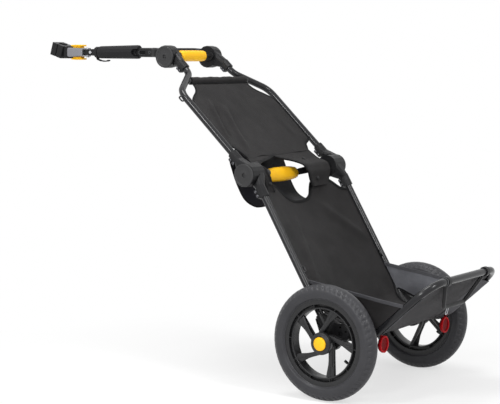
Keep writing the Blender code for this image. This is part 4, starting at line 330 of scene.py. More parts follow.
def painted(name, colour):
    material, tree, shader = start_finish(name, colour, 0.3, gloss=0.22)
    shader.inputs["Coat Weight"].default_value = 0.14
    shader.inputs["Coat Roughness"].default_value = 0.08
    place = coordinates(tree)
    dust = noise_pattern(tree, place, size=0.06, detail=5.0, rough=0.65)
    tree.links.new(graded(tree, dust, 0.3, 0.75, 0.17, 0.30), shader.inputs["Roughness"])
    tint = two_colours(tree, dust, colour, shade(colour, 1.5))
    tree.links.new(tint, shader.inputs["Base Color"])
    peel = noise_pattern(tree, place, size=1.4 * MILLIMETRE, detail=1.0)
    raise_grain(tree, shader, peel, depth=0.00003, edge=0.0006)
    return material


def moulded(name, colour, roughness, grain, depth, edge=0.0009, gloss=0.2):
    material, tree, shader = start_finish(name, colour, roughness, gloss=gloss)
    place = coordinates(tree)
    flow = noise_pattern(tree, place, size=0.035, detail=6.0, rough=0.6)
    pits = add_node(tree, "ShaderNodeTexVoronoi", Scale=1 / grain)
    tree.links.new(place, pits.inputs["Vector"])
    rubbed = graded(tree, flow, 0.3, 0.7, roughness - 0.08, roughness + 0.10)
    tree.links.new(rubbed, shader.inputs["Roughness"])
    tint = two_colours(tree, flow, shade(colour, 0.82), shade(colour, 1.3))
    tree.links.new(tint, shader.inputs["Base Color"])
    raise_grain(tree, shader, pits.outputs["Distance"], depth, edge)
    return material


def metal(name, colour, roughness, edge=0.0005):
    material, tree, shader = start_finish(name, colour, roughness, metallic=0.9)
    place = coordinates(tree, stretch=(1, 6, 1))
    brushed = noise_pattern(tree, place, size=1.5 * MILLIMETRE, detail=4.0, rough=0.7)
    worn = graded(tree, brushed, 0.2, 0.8, roughness - 0.03, roughness + 0.06)
    tree.links.new(worn, shader.inputs["Roughness"])
    raise_grain(tree, shader, brushed, depth=0.000003, edge=edge)
    return material


FRAME_BLACK = (0.0100, 0.0100, 0.0112)
MOULDED_BLACK = (0.0095, 0.0095, 0.0103)
MOULDED_GREY = (0.075, 0.077, 0.080)
GRIP_BLACK = (0.0115, 0.0115, 0.0125)
YELLOW = (0.98, 0.46, 0.013)
TYRE = (0.0370, 0.0370, 0.0405)
SILVER = (0.27, 0.27, 0.29)
STEEL = (0.55, 0.56, 0.58)

frame_black = painted("frame_black_paint", FRAME_BLACK)
moulded_black = moulded("moulded_black_plastic", MOULDED_BLACK, 0.38, 0.7 * MILLIMETRE, 0.00006)
moulded_grey = moulded("moulded_grey_plastic", MOULDED_GREY, 0.48, 0.7 * MILLIMETRE, 0.00006)
grip_black = moulded("grip_black_rubber", GRIP_BLACK, 0.60, 1.1 * MILLIMETRE, 0.00014)
release_yellow = moulded("release_yellow_rubber", YELLOW, 0.42, 0.8 * MILLIMETRE, 0.00003)
tyre_rubber = moulded("tyre_rubber_black", TYRE, 0.36, 0.6 * MILLIMETRE, 0.00005, edge=0.0004)
steel = metal("bright_steel", STEEL, 0.28)
coupler_silver = metal("coupler_silver_paint", SILVER, 0.44, edge=0.0009)
print("hard finishes:", frame_black.name, moulded_black.name, steel.name, "and others")

# %% [markdown]
# The red reflectors are clear plastic with rows of small prisms behind the face. The prisms
# could be modelled, but they are smaller than a picture shows, so a fine square grid of cells
# gives their glitter: in the bump, and in the colour, where each cell is paler in its middle
# and darker at its edges, a painted glint. A coat gives the smooth front.

# %% Reflector lens
RED = (0.15, 0.0006, 0.0025)
PRISM_SIZE = 2.4 * MILLIMETRE


def prism_lens(name, colour):
    material, tree, shader = start_finish(name, colour, 0.25, gloss=0.02)
    shader.inputs["Coat Weight"].default_value = 0.06
    shader.inputs["Coat Roughness"].default_value = 0.05
    prisms = add_node(tree, "ShaderNodeTexVoronoi", Scale=1 / PRISM_SIZE, Randomness=0.0)
    prisms.distance = "CHEBYCHEV"
    tree.links.new(coordinates(tree), prisms.inputs["Vector"])
    height = prisms.outputs["Distance"]
    # Paler in the middle of each cell and darker at its edges: a painted glint of the prisms.
    tint = two_colours(tree, height, shade(colour, 1.25), shade(colour, 0.45))
    tree.links.new(tint, shader.inputs["Base Color"])
    raise_grain(tree, shader, height, depth=0.00012)
    return material


reflector_red = prism_lens("reflector_red_lens", RED)
print("prisms in 10 mm of lens:", round(10 * MILLIMETRE / PRISM_SIZE, 1))

# %% [markdown]
# The cloth is a coated woven nylon. Two sets of yarns cross at right angles, each a wave along
# the sheet's own UV, which is laid out in metres, so the weave follows the cloth round its
# curves. Broad paler clouds of noise lie over it at random: partly fading and wear, partly a
# painted sheen. The shader's sheen adds a soft sheen from the lamps.

# %% Cloth finishes
BANDS_PER_SCALE = 0.314
FUZZ_SHARE = 0.6
PANEL_YARN = 0.0011
SATIN_YARN = 0.0007
FLOOR_PIT = 0.0030
WRAP_YARN = 0.0010
TAPE_YARN = 0.0016


def yarns(tree, vector, direction, pitch):
    """Bands across one direction of the sheet, one for each yarn."""
    wave = add_node(tree, "ShaderNodeTexWave", Scale=BANDS_PER_SCALE / pitch, Distortion=0.0)
    wave.wave_type = "BANDS"
    wave.bands_direction = direction
    tree.links.new(vector, wave.inputs["Vector"])
    return wave.outputs["Fac"]


def woven(name, colour, pitch, depth, sheen, fade_and_sheen_gain=1.5, roughness=0.85, gloss=0.18):
    """Cloth with yarns pitch metres apart, whose random clouds, partly fading and partly a painted
    sheen, are paler than its colour by the given factor.
    """
    material, tree, shader = start_finish(name, colour, roughness, gloss=gloss)
    shader.inputs["Sheen Weight"].default_value = sheen
    shader.inputs["Sheen Roughness"].default_value = 0.45
    on_sheet, on_body = coordinates(tree, "UV"), coordinates(tree)
    warp = yarns(tree, on_sheet, "X", pitch)
    weft = yarns(tree, on_sheet, "Y", pitch)
    crossing = calculate(tree, "MAXIMUM", warp, weft)
    # Random paler clouds in the colour: partly fading and wear, partly a painted sheen.
    fade_and_sheen = noise_pattern(tree, on_body, size=0.09, detail=6.0, rough=0.62)
    fade_and_sheen = graded(tree, fade_and_sheen, 0.32, 0.72, 0, 1)
    tint = two_colours(tree, fade_and_sheen, shade(colour, 0.85), shade(colour, fade_and_sheen_gain))
    tree.links.new(tint, shader.inputs["Base Color"])
    fuzz = noise_pattern(tree, on_body, size=0.004, detail=3.0, rough=0.7)
    weave = add_node(tree, "ShaderNodeMath")
    weave.operation = "MULTIPLY_ADD"
    weave.inputs[1].default_value = FUZZ_SHARE
    tree.links.new(fuzz, weave.inputs[0])
    tree.links.new(crossing, weave.inputs[2])
    raise_grain(tree, shader, weave.outputs[0], depth)
    return material


panel_black = woven(
    "panel_black_cloth", (0.0130, 0.0122, 0.0125), PANEL_YARN, 0.00022, sheen=0.05
)
guard_blue = woven(
    "guard_dark_satin", (0.0060, 0.0060, 0.0095), SATIN_YARN, 0.00010,
    sheen=0.02, fade_and_sheen_gain=1.9, roughness=0.50, gloss=0.10,
)
# A paler grey for the gussets' inner faces: painted light for the lit inside of the same black
# cloth.
painted_lit_gusset = woven(
    "gusset_grey_cloth", (0.105, 0.107, 0.118), PANEL_YARN, 0.00022, sheen=0.08
)
floor_grey = woven(
    "floor_pitted_cloth", (0.036, 0.035, 0.037), FLOOR_PIT, 0.00060, sheen=0.05
)
wrap_grey = woven(
    "floor_wrap_cloth", (0.070, 0.070, 0.076), WRAP_YARN, 0.00015, sheen=0.08, fade_and_sheen_gain=1.3
)
binding_black = woven(
    "binding_black_tape", (0.0040, 0.0040, 0.0045), TAPE_YARN, 0.00030,
    sheen=0.0, fade_and_sheen_gain=1.3, roughness=0.5, gloss=0.10,
)
# A pale grey for the gussets' top hems: a painted highlight for the lit upper edge of the black
# cloth.
painted_highlight_hem = woven(
    "binding_grey_tape", (0.060, 0.060, 0.066), TAPE_YARN, 0.00030,
    sheen=0.08, fade_and_sheen_gain=1.2, roughness=0.7,
)
print("yarns in 10 mm of panel:", round(10 * MILLIMETRE / PANEL_YARN, 1))

# %% [markdown]
# Every node of the frame names the finish that it should have. One loop gives each of them its
# material, so that no plain surface is left, also where a node is later covered by a piece.

# %% Dress the frame
FINISHES = {
    "frame_black": frame_black,
    "moulded_black": moulded_black,
    "moulded_grey": moulded_grey,
    "grip_black": grip_black,
    "release_yellow": release_yellow,
    "fabric_black": panel_black,
    "fabric_grey": painted_lit_gusset,
    "tyre_rubber": tyre_rubber,
    "steel": steel,
    "coupler_silver": coupler_silver,
    "reflector_red": reflector_red,
}
dressed = 0
for node in nodes.values():
    for slot in node.material_slots:
        slot.material = FINISHES[slot.material.name.split(".")[0]]
        dressed += 1
print("frame pieces given a finish:", dressed)

# %% [markdown]
# All later pieces are placed from a few marks: the middle of the axle and the two fold pivots,
# which the frame gives, and the lean of the two pairs of tubes, which is given as numbers. A spot
# is named by its place behind the axle and its height over the floor, as someone who measures
# the trailer would do.

# %% Marks on the frame


def middle_of(node):
    low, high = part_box(node)
    return (Vector(low) + Vector(high)) / 2


def on_middle_plane(point):
    return Vector((point.x, 0, point.z))


def heading(degrees):
    """A direction in the side view: 0 points to the rear, 90 points up."""
    return Vector((math.cos(math.radians(degrees)), 0, math.sin(math.radians(degrees))))


TYRE_RADIUS = 0.149
ACROSS = Vector((0, 1, 0))
AXLE = middle_of("axle_tube")
FLOOR = Vector((AXLE.x, 0, AXLE.z - TYRE_RADIUS))
MID_PIVOT = on_middle_plane(middle_of("left_mid_pivot"))
TOP_PIVOT = on_middle_plane(middle_of("left_top_pivot"))
LOWER_LEAN = 30.8
UPPER_LEAN = 47.2
LOWER_UP = heading(90 + LOWER_LEAN)
LOWER_FRONT = heading(180 + LOWER_LEAN)
UPPER_UP = heading(90 + UPPER_LEAN)
UPPER_REAR = heading(UPPER_LEAN)
LOWER_LENGTH = 0.486
UPPER_LENGTH = 0.4665
UPPER_START = MID_PIVOT + UPPER_REAR * 0.005
FRAME_HALF = 0.211
NECK_HALF = 0.104
DECK_HALF = 0.193
SIDES = (("left", -1), ("right", 1))


def spot(x, z, y=0.0):
    return FLOOR + Vector((x, y, z))


def lower_at(s, y=0.0, front=0.0):
    """A point s up the lower tubes from the axle, and front ahead of their plane."""
    return AXLE + LOWER_UP * s + LOWER_FRONT * front + ACROSS * y


def upper_at(s, y=0.0, rear=0.0):
    """A point s up the upper tubes from the middle fold, and rear behind their plane."""
    return UPPER_START + UPPER_UP * s + UPPER_REAR * rear + ACROSS * y


DECK_LEAN = 42
DECK_KNEE = spot(0.097, 0.158)
DECK_HINGE = spot(0.029, 0.170)
DECK_ALONG = heading(DECK_LEAN)
DECK_UNDER = heading(DECK_LEAN - 90)
DECK_FORE = heading(-10)
DECK_END = DECK_KNEE + DECK_ALONG * 0.229
print("axle", measured(AXLE), "mid pivot", measured(MID_PIVOT))

# %% [markdown]
# A soft shape is easier to write down as a few numbers than as a formula. These helpers read
# a value or a point from such short lists, and round what lies between.

# %% Helpers for curves


def clamped(value):
    return max(0.0, min(1.0, value))


def ease(value):
    """Rises from 0 to 1 with a soft start and a soft end."""
    value = clamped(value)
    return value * value * (3 - 2 * value)


def between(value, knots):
    """Straight lines through (place, value) knots."""
    if value <= knots[0][0]:
        return knots[0][1]
    for (a, low), (b, high) in zip(knots, knots[1:]):
        if value <= b:
            return low + (high - low) * (value - a) / (b - a)
    return knots[-1][1]


def softly(value, knots, blur):
    """The same lines with their corners rounded over the width blur."""
    return sum(between(value + blur * k / 2, knots) for k in (-2, -1, 0, 1, 2)) / 5


def along_curve(points, share):
    """A smooth curve through all the points; share runs from 0 to 1."""
    place = clamped(share) * (len(points) - 1)
    k = min(int(place), len(points) - 2)
    t = place - k
    a, b, c, d = [points[max(0, min(len(points) - 1, k + n))] for n in (-1, 0, 1, 2)]
    return 0.5 * (
        2 * b + (c - a) * t + (2 * a - 5 * b + 4 * c - d) * t**2 + (3 * b - a - 3 * c + d) * t**3
    )


def rounded(corners, radii, steps=8):
    """The corners joined by straight runs, each inner corner turned on its radius."""
    path = [corners[0]]
    for before, corner, after, radius in zip(corners, corners[1:], corners[2:], radii):
        back, on = (before - corner).normalized(), (after - corner).normalized()
        half = back.angle(on) / 2
        reach = radius / math.tan(half)
        centre = corner + (back + on).normalized() * (radius / math.sin(half))
        start = (corner + back * reach - centre).normalized()
        end = (corner + on * reach - centre).normalized()
        for k in range(steps + 1):
            path.append(centre + start.slerp(end, k / steps) * radius)
    return path + [corners[-1]]


def creases(point, size, height):
    """Small soft wrinkles, the same on each run."""
    return height * noise.noise(Vector(point) / size)


print("halfway up a soft step:", ease(0.5))

# %% [markdown]
# The helpers below do by code what the mouse does in the viewport: start clean, work on a
# piece in edit mode, merge and turn its faces outwards, and hand the finished piece to its body.

# %% Helpers for pieces


def only(*objects):
    if bpy.context.object and bpy.context.object.mode == "EDIT":
        bpy.ops.object.mode_set(mode="OBJECT")
    bpy.ops.object.select_all(action="DESELECT")
    for obj in objects:
        obj.select_set(True)
    bpy.context.view_layer.objects.active = objects[0]


def close_and_turn_out(obj, gap=0.00001):
    only(obj)
    bpy.ops.object.mode_set(mode="EDIT")
    bpy.ops.mesh.select_all(action="SELECT")
    bpy.ops.mesh.remove_doubles(threshold=gap)
    bpy.ops.mesh.normals_make_consistent(inside=False)
    bpy.ops.object.mode_set(mode="OBJECT")


def apply_modifier(obj, kind, **values):
    modifier = obj.modifiers.new(kind.title(), kind)
    for name, value in values.items():
        setattr(modifier, name, value)
    only(obj)
    bpy.ops.object.modifier_apply(modifier=modifier.name)


def join(*objects):
    only(*objects)
    bpy.ops.object.join()
    return bpy.context.object


def dress(obj, finish, body, slot, *replaced, angle=40):
    """Shades the piece, gives it its finish and lets it ride on its body."""
    if not obj.data.materials:
        obj.data.materials.append(finish)
    only(obj)
    bpy.ops.object.shade_smooth_by_angle(angle=math.radians(angle))
    if body:
        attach(obj, body)
    if replaced:
        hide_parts(*replaced)
    return obj


# %% [markdown]
# Most pieces of a trailer are turned, bent or drawn. A turned piece is spun from its outline, a
# bent one is a curve with a round bevel, and a drawn one joins equal rings of points, as a loft
# does. A cylinder or a cube as a start would need more steps for the same form.

# %% Helpers for spun, bent and drawn pieces


def mesh_piece(name, points, edges, faces):
    mesh = bpy.data.meshes.new(name)
    mesh.from_pydata([tuple(point) for point in points], edges, faces)
    obj = bpy.data.objects.new(name, mesh)
    bpy.context.collection.objects.link(obj)
    return obj


def square_to(axis):
    """A direction at right angles to the axis."""
    other = Vector((0, 0, 1)) if abs(axis.z) < 0.9 else Vector((1, 0, 0))
    return axis.cross(other).normalized()


def spun(name, profile, centre, axis=ACROSS, steps=48, closed=False):
    """An outline of (radius, height) marks, spun once round the axis through centre."""
    axis = Vector(axis).normalized()
    radial = square_to(axis)
    points = [centre + radial * radius + axis * height for radius, height in profile]
    edges = [(k, k + 1) for k in range(len(points) - 1)]
    if closed:
        edges.append((len(points) - 1, 0))
    obj = mesh_piece(name, points, edges, [])
    only(obj)
    bpy.ops.object.mode_set(mode="EDIT")
    bpy.ops.mesh.select_all(action="SELECT")
    bpy.ops.mesh.spin(steps=steps, angle=2 * math.pi, center=centre, axis=axis)
    bpy.ops.object.mode_set(mode="OBJECT")
    close_and_turn_out(obj)
    return obj


def bent_rod(name, path, radius, sides=6, closed=False):
    """A round bar or tube along a path: a curve given a round bevel, then made a mesh."""
    curve = bpy.data.curves.new(name, "CURVE")
    curve.dimensions = "3D"
    curve.bevel_depth = radius
    curve.bevel_resolution = sides
    curve.use_fill_caps = not closed
    line = curve.splines.new("POLY")
    line.points.add(len(path) - 1)
    for mark, point in zip(line.points, path):
        mark.co = (*point, 1)
    line.use_cyclic_u = closed
    obj = bpy.data.objects.new(name, curve)
    bpy.context.collection.objects.link(obj)
    only(obj)
    bpy.ops.object.convert(target="MESH")
    obj = bpy.context.object
    close_and_turn_out(obj)
    return obj


def drawn(name, rings):
    """Joins equal rings of points, one after the other, and caps both ends."""
    size, count = len(rings[0]), len(rings)
    points = [point for ring in rings for point in ring]
    faces = []
    for k in range(count - 1):
        a, b = k * size, (k + 1) * size
        for n in range(size):
            faces.append((a + n, a + (n + 1) % size, b + (n + 1) % size, b + n))
    faces += [tuple(range(size)), tuple(reversed(range(len(points) - size, len(points))))]
    obj = mesh_piece(name, points, [], faces)
    close_and_turn_out(obj)
    return obj


def swept(name, path, sections):
    """The same, from a path and the outline round each of its points."""
    rings = [[place + mark for mark in ring] for place, ring in zip(path, sections)]
    return drawn(name, rings)


# %% [markdown]
# Hems and tapes are straps with soft edges. A strap is drawn along a path, and gets a UV in
# metres along and round itself, so that the yarns of its finish run with it.

# %% Helpers for straps


def give_strap_layout(obj, path, size, width):
    layer = obj.data.uv_layers.new(name="strap")
    run = [0.0]
    for a, b in zip(path, path[1:]):
        run.append(run[-1] + (b - a).length)
    for loop in obj.data.loops:
        k = min(loop.vertex_index // size, len(run) - 1)
        layer.data[loop.index].uv = (run[k], loop.vertex_index % size / size * 2 * width)


def band(name, path, across, out, width, thick, corner=0.35):
    """A flat strap along a path; across and out give its width and thickness directions."""
    soft = thick * corner
    half, deep = width / 2, thick / 2
    outline = [
        (half - soft, deep), (half, 0.0), (half - soft, -deep), (0.0, -deep),
        (soft - half, -deep), (-half, 0.0), (soft - half, deep), (0.0, deep),
    ]
    rings = [
        [place + side * x + normal * y for x, y in outline]
        for place, side, normal in zip(path, across, out)
    ]
    obj = drawn(name, rings)
    give_strap_layout(obj, path, len(outline), width)
    return obj


# %% [markdown]
# A cloth panel starts as Blender's grid. Each of its points is moved to its place on a curved
# surface given in the panel's own u and v, Solidify gives it its thickness, and its UV is
# stretched to the flat size, so the weave has its real pitch. A cloth simulation could drape
# it too, but a panel that is sewn tight hangs the same each day, and a surface says how.

# %% Helpers for cloth
CLOTH = 0.0018
TAPE_STEPS = 120
SLOPE_STEP = 0.004


def cloth(name, surface, columns, rows, flat, thick=CLOTH):
    bpy.ops.object.select_all(action="DESELECT")
    bpy.ops.mesh.primitive_grid_add(x_subdivisions=columns, y_subdivisions=rows, size=1)
    sheet = bpy.context.object
    sheet.name = name
    for point in sheet.data.vertices:
        point.co = surface(clamped(point.co.x + 0.5), clamped(point.co.y + 0.5))
    for corner in sheet.data.uv_layers[0].data:
        corner.uv = (corner.uv[0] * flat[0], corner.uv[1] * flat[1])
    apply_modifier(sheet, "SOLIDIFY", thickness=thick, offset=0.0)
    close_and_turn_out(sheet, 0.000001)
    return sheet


def edge_band(name, surface, line, width, thick, inward=0.0):
    """A tape folded over a panel's edge: line(t) gives u and v along that edge."""
    path, across, out = [], [], []
    for k in range(TAPE_STEPS + 1):
        t = k / TAPE_STEPS
        u, v = line(t)
        du = surface(min(1, u + SLOPE_STEP), v) - surface(max(0, u - SLOPE_STEP), v)
        dv = surface(u, min(1, v + SLOPE_STEP)) - surface(u, max(0, v - SLOPE_STEP))
        normal = du.cross(dv).normalized()
        u0, v0 = line(max(0, t - 0.5 / TAPE_STEPS))
        u1, v1 = line(min(1, t + 0.5 / TAPE_STEPS))
        ahead = (surface(u1, v1) - surface(u0, v0)).normalized()
        side = normal.cross(ahead).normalized()
        path.append(surface(u, v) + side * inward)
        across.append(side)
        out.append(normal)
    return band(name, path, across, out, width, thick)


def side_tapes(kind, surface, inward, reach=1.0):
    """The pair of narrow tapes along a panel's two side edges."""
    tapes = []
    for name, side in SIDES:
        u = max(0.0, float(side))
        tapes.append(
            edge_band(
                f"{name}_{kind}", surface, lambda t, u=u: (u, t * reach), 0.0070, 0.0028,
                inward=inward * side,
            )
        )
    return tapes


# %% [markdown]
# The tyre could be a torus, but its bead and its tread need an outline of their own, so it is
# spun from its section: round tread, bulging sidewall and a bead tucked into the rim. Then its
# outer points are moved in code, as with a chisel: slanted cuts on both shoulders, a shallow
# groove each side of the middle, and rings moulded in the sidewall.

# %% Tyre
TYRE_HALF = 0.0235
TYRE_CORE = TYRE_RADIUS - TYRE_HALF
TYRE_INSIDE = 0.019
RUBBER_ARC = 118
RUBBER_STEPS = 36
BEAD = [
    (0.1118, 0.0160), (0.1050, 0.0120), (0.1030, 0.0095), (0.1060, 0.0080), (0.1150, 0.0150),
]
TREAD_BLOCKS = 56
STEPS_PER_BLOCK = 6
TREAD_SLANT = 26
MIDDLE_GROOVE = 0.0011
SHOULDER_CUT = 0.0016
MIDDLE_CUT = 0.0007
SIDEWALL_RINGS = (0.1175, 0.1262, 0.1335)
RING_HEIGHT = 0.0007
RING_WIDTH = 0.0011


def tyre_section():
    outside = []
    for k in range(RUBBER_STEPS + 1):
        turn_by = math.radians(-RUBBER_ARC + 2 * RUBBER_ARC * k / RUBBER_STEPS)
        outside.append(
            (TYRE_CORE + TYRE_HALF * math.cos(turn_by), TYRE_HALF * math.sin(turn_by))
        )
    inside = []
    for turn_by in (math.radians(degrees) for degrees in (60, 20, -20, -60)):
        inside.append(
            (TYRE_CORE + TYRE_INSIDE * math.cos(turn_by), TYRE_INSIDE * math.sin(turn_by))
        )
    mirrored = [(radius, -height) for radius, height in reversed(BEAD)]
    return outside + BEAD + inside + mirrored


def tread_depth(turn_share, height):
    """How far the rubber is cut back at a share of the turn and a height across the tread."""
    block = (turn_share * TREAD_BLOCKS + height * TREAD_SLANT) % 1.0
    across = abs(height) / TYRE_HALF
    depth = 0.0
    if 0.36 < across < 0.44:
        depth = MIDDLE_GROOVE
    if 0.50 < across < 0.86 and block < 0.34:
        depth = SHOULDER_CUT
    if across <= 0.30 and block > 0.80:
        depth = MIDDLE_CUT
    return depth


def wheel_centre(name):
    return Vector((AXLE.x, middle_of(f"{name}_tyre").y, AXLE.z))


def model_tyre(name, side):
    centre = wheel_centre(name)
    steps = TREAD_BLOCKS * STEPS_PER_BLOCK
    tyre = spun(f"{name}_road_tyre", tyre_section(), centre, steps=steps, closed=True)
    for point in tyre.data.vertices:
        offset = point.co - centre
        height = offset.y * side
        radius = math.hypot(offset.x, offset.z)
        ring = Vector((offset.x, 0, offset.z)) / radius
        outward = ring * (radius - TYRE_CORE) + ACROSS * offset.y
        if outward.length < TYRE_HALF - 0.001:
            continue
        turn_share = math.atan2(offset.z, offset.x) / (2 * math.pi)
        cut = tread_depth(turn_share, height) if radius > TYRE_CORE else 0.0
        if abs(height) > 0.012:
            for ring_at in SIDEWALL_RINGS:
                cut -= RING_HEIGHT * math.exp(-(((radius - ring_at) / RING_WIDTH) ** 2))
        point.co -= outward.normalized() * cut
    body, replaced = f"{name}_wheel_body", f"{name}_tyre"
    return dress(tyre, tyre_rubber, body, "tyre_rubber", replaced, angle=28)


for name, side in SIDES:
    tyre = model_tyre(name, side)
    print(tyre.name, "points", len(tyre.data.vertices))

# %% [markdown]
# The wheel is one moulding of glass-filled nylon: a channel rim whose side is hollowed by a
# groove, five spokes of T section that widen at the rim, and a dished hub. The spokes don't
# point at the middle: each leaves the hub to one side of it, so that together they turn like
# a windmill. Rim and hub are spun, one spoke is swept through its stations, and the spoke,
# the rib on its face and the tick between two spokes are copied round about the axle.

# %% Wheel sections
SPOKES = 5
SPOKE_ASIDE = 0.021
SPOKE_LENGTH = 0.094
SPOKE_STATIONS = (0.0, 0.06, 0.14, 0.25, 0.40, 0.55, 0.68, 0.80, 0.89, 0.95, 1.0)
SPOKE_TURN = {"left": -17, "right": -42}
RIB_SIZE = (0.0400, 0.0050, 0.0022)
TICK_SIZE = (0.0088, 0.0120, 0.0018)
RIM_HALF = 0.0155


def rim_section():
    top = [
        (0.0985, 0.0055), (0.1005, 0.0100), (0.1012, 0.0115), (0.1090, 0.0122), (0.1108, 0.0128),
        (0.1115, 0.0140), (0.1112, 0.0152), (0.1102, RIM_HALF), (0.1000, RIM_HALF),
        (0.0990, 0.0150), (0.0984, 0.0042), (0.0975, 0.0030), (0.0925, 0.0030), (0.0916, 0.0042),
        (0.0910, 0.0150), (0.0900, RIM_HALF), (0.0882, RIM_HALF), (0.0873, 0.0147),
        (0.0870, 0.0130),
    ]
    return top + [(radius, -height) for radius, height in reversed(top)]


def hub_section():
    return [
        (0.0, 0.0125), (0.0165, 0.0125), (0.0178, 0.0130), (0.0181, 0.0252), (0.0190, 0.0260),
        (0.0206, 0.0260), (0.0214, 0.0252), (0.0222, 0.0247), (0.0262, 0.0238), (0.0278, 0.0230),
        (0.0287, 0.0212), (0.0290, 0.0190), (0.0290, 0.0125), (0.0282, 0.0105), (0.0235, 0.0085),
        (0.0212, 0.0060), (0.0200, 0.0020), (0.0198, -0.0150), (0.0185, -0.0225), (0.0160, -0.0255),
        (0.0, -0.0255),
    ]


def spoke_ring(out, across, face, depth):
    """A ridged face plate on a web, with a smaller bead along the web's inner edge."""
    top = depth / 2
    half = [
        (face * 0.24, top - 0.0002), (face * 0.42, top - 0.0009), (face / 2, top - 0.0024),
        (face / 2, top - 0.0048), (face * 0.34, top - 0.0058), (0.0030, top - 0.0075),
        (0.0026, -top + 0.0052), (0.0044, -top + 0.0030), (0.0044, -top + 0.0010), (0.0030, -top),
    ]
    ring = [(0.0, top + 0.0006)] + half + [(-x, y) for x, y in reversed(half)]
    return [across * x + out * y for x, y in ring]


print("marks in the sections:", len(rim_section()), "rim,", len(hub_section()), "hub")

# %% [markdown]
# The three kinds of small part are made once and copied round the axle, each copy with its
# own mesh, and the copies are joined to the rim and the hub.

# %% Wheel


def turned_copies(obj, count, centre):
    """Copies of a piece round the axle, each with its own mesh, joined into one."""
    copies = [obj]
    for k in range(1, count):
        copy = obj.copy()
        copy.data = obj.data.copy()
        bpy.context.collection.objects.link(copy)
        copy.data.transform(
            Matrix.Translation(centre)
            @ Matrix.Rotation(2 * math.pi * k / count, 4, "Y")
            @ Matrix.Translation(-centre)
        )
        copies.append(copy)
    return join(*copies)


def model_spoke(name, centre, out, turn):
    direction, across = heading(turn), heading(turn + 90)
    path, sections = [], []
    for share in SPOKE_STATIONS:
        root = 1 - ease(share / 0.25)
        flare = ease((share - 0.50) / 0.50)
        face = 0.0120 + 0.0040 * root + 0.0120 * flare**1.5
        aside = SPOKE_ASIDE - 0.0060 * root
        path.append(centre + across * aside + direction * (SPOKE_LENGTH * share - 0.0085))
        sections.append(spoke_ring(out, across, face, 0.0205 + 0.003 * flare))
    return swept(name, path, sections)


def model_rib(name, place, turn, size):
    """A small bevelled bar, its length turned to the given heading."""
    bpy.ops.object.select_all(action="DESELECT")
    bpy.ops.mesh.primitive_cube_add(
        size=1, location=place, rotation=(0, -math.radians(turn), 0), scale=size
    )
    bpy.ops.object.transform_apply(location=True, rotation=True, scale=True)
    rib = bpy.context.object
    rib.name = name
    bpy.ops.object.mode_set(mode="EDIT")
    bpy.ops.mesh.select_all(action="SELECT")
    bpy.ops.mesh.bevel(offset=0.0004, segments=1, affect="EDGES")
    bpy.ops.object.mode_set(mode="OBJECT")
    return rib


def model_wheel(name, side):
    centre = wheel_centre(name)
    out, turn = ACROSS * side, SPOKE_TURN[name]
    rim = spun(f"{name}_spoked_wheel", rim_section(), centre, out, steps=120, closed=True)
    hub = spun(f"{name}_hub", hub_section(), centre, out, steps=64)
    spoke = model_spoke(f"{name}_spoke", centre, out, turn)
    parts = [rim, hub, turned_copies(spoke, SPOKES, centre)]
    on_spoke = centre + heading(turn + 90) * SPOKE_ASIDE + heading(turn) * 0.0780
    on_rim = centre + heading(turn + 50) * 0.0956
    for face in (out * 0.0108, out * -0.0108):
        rib = model_rib(f"{name}_rib", on_spoke + face, turn, RIB_SIZE)
        tick = model_rib(f"{name}_tick", on_rim + face * 0.85, turn + 50, TICK_SIZE)
        parts += [turned_copies(rib, SPOKES, centre), turned_copies(tick, SPOKES, centre)]
    wheel = join(*parts)
    body, replaced = f"{name}_wheel_body", f"{name}_wheel"
    return dress(wheel, wheel_black, body, "moulded_black", replaced, angle=35)


WHEEL_BLACK = (0.0170, 0.0170, 0.0180)
wheel_black = moulded(
    "wheel_black_nylon", WHEEL_BLACK, 0.30, 0.5 * MILLIMETRE, 0.00004, gloss=0.32
)
for name, side in SIDES:
    wheel = model_wheel(name, side)
    print(wheel.name, "faces", len(wheel.data.polygons))

# %% [markdown]
# The frame is bent round tube. Each tube is a curve through its corners, turned on the bending
# radius, given a round bevel and made a mesh. The lower pair is straight; the upper pair is drawn
# in to the neck by two bends; the fold-down deck is one long tube in the shape of a U.

# %% Frame tubes
TUBE_RADIUS = 0.0095
LOWER_TUBE = (0.0306, 0.4496)
UPPER_TUBE = ((0.0366, FRAME_HALF), (0.307, FRAME_HALF), (0.378, NECK_HALF), (0.4261, NECK_HALF))
UPPER_BENDS = (0.048, 0.034)
DECK_BENDS = (0.06, 0.065, 0.065, 0.06)
LOWER_LOOP_AT = 0.1975
UPPER_LOOP_AT = 0.287
LOOP_HALF = 0.008
LOOP_ROOT = 0.0055
LOOP_OUT = 0.0045
LOOP_REAR = 0.0075
LOOP_WIRE = 0.0022


def tie_loop(name, place, inward, up, rear):
    """The small wire loop welded to a tube's side, for a strap or hook."""
    corners = [
        place - up * LOOP_HALF - inward * LOOP_ROOT,
        place - up * LOOP_HALF + inward * LOOP_OUT + rear * LOOP_REAR,
        place + up * LOOP_HALF + inward * LOOP_OUT + rear * LOOP_REAR,
        place + up * LOOP_HALF - inward * LOOP_ROOT,
    ]
    return bent_rod(name, rounded(corners, (0.004, 0.004), 5), LOOP_WIRE, 3)


def lower_tube(name, side):
    ends = [lower_at(s, side * FRAME_HALF) for s in LOWER_TUBE]
    tube = bent_rod(f"{name}_lower_rail", ends, TUBE_RADIUS)
    place = lower_at(LOWER_LOOP_AT, side * (FRAME_HALF - TUBE_RADIUS))
    loop = tie_loop(f"{name}_lower_loop", place, -ACROSS * side, LOWER_UP, -LOWER_FRONT)
    return join(tube, loop)


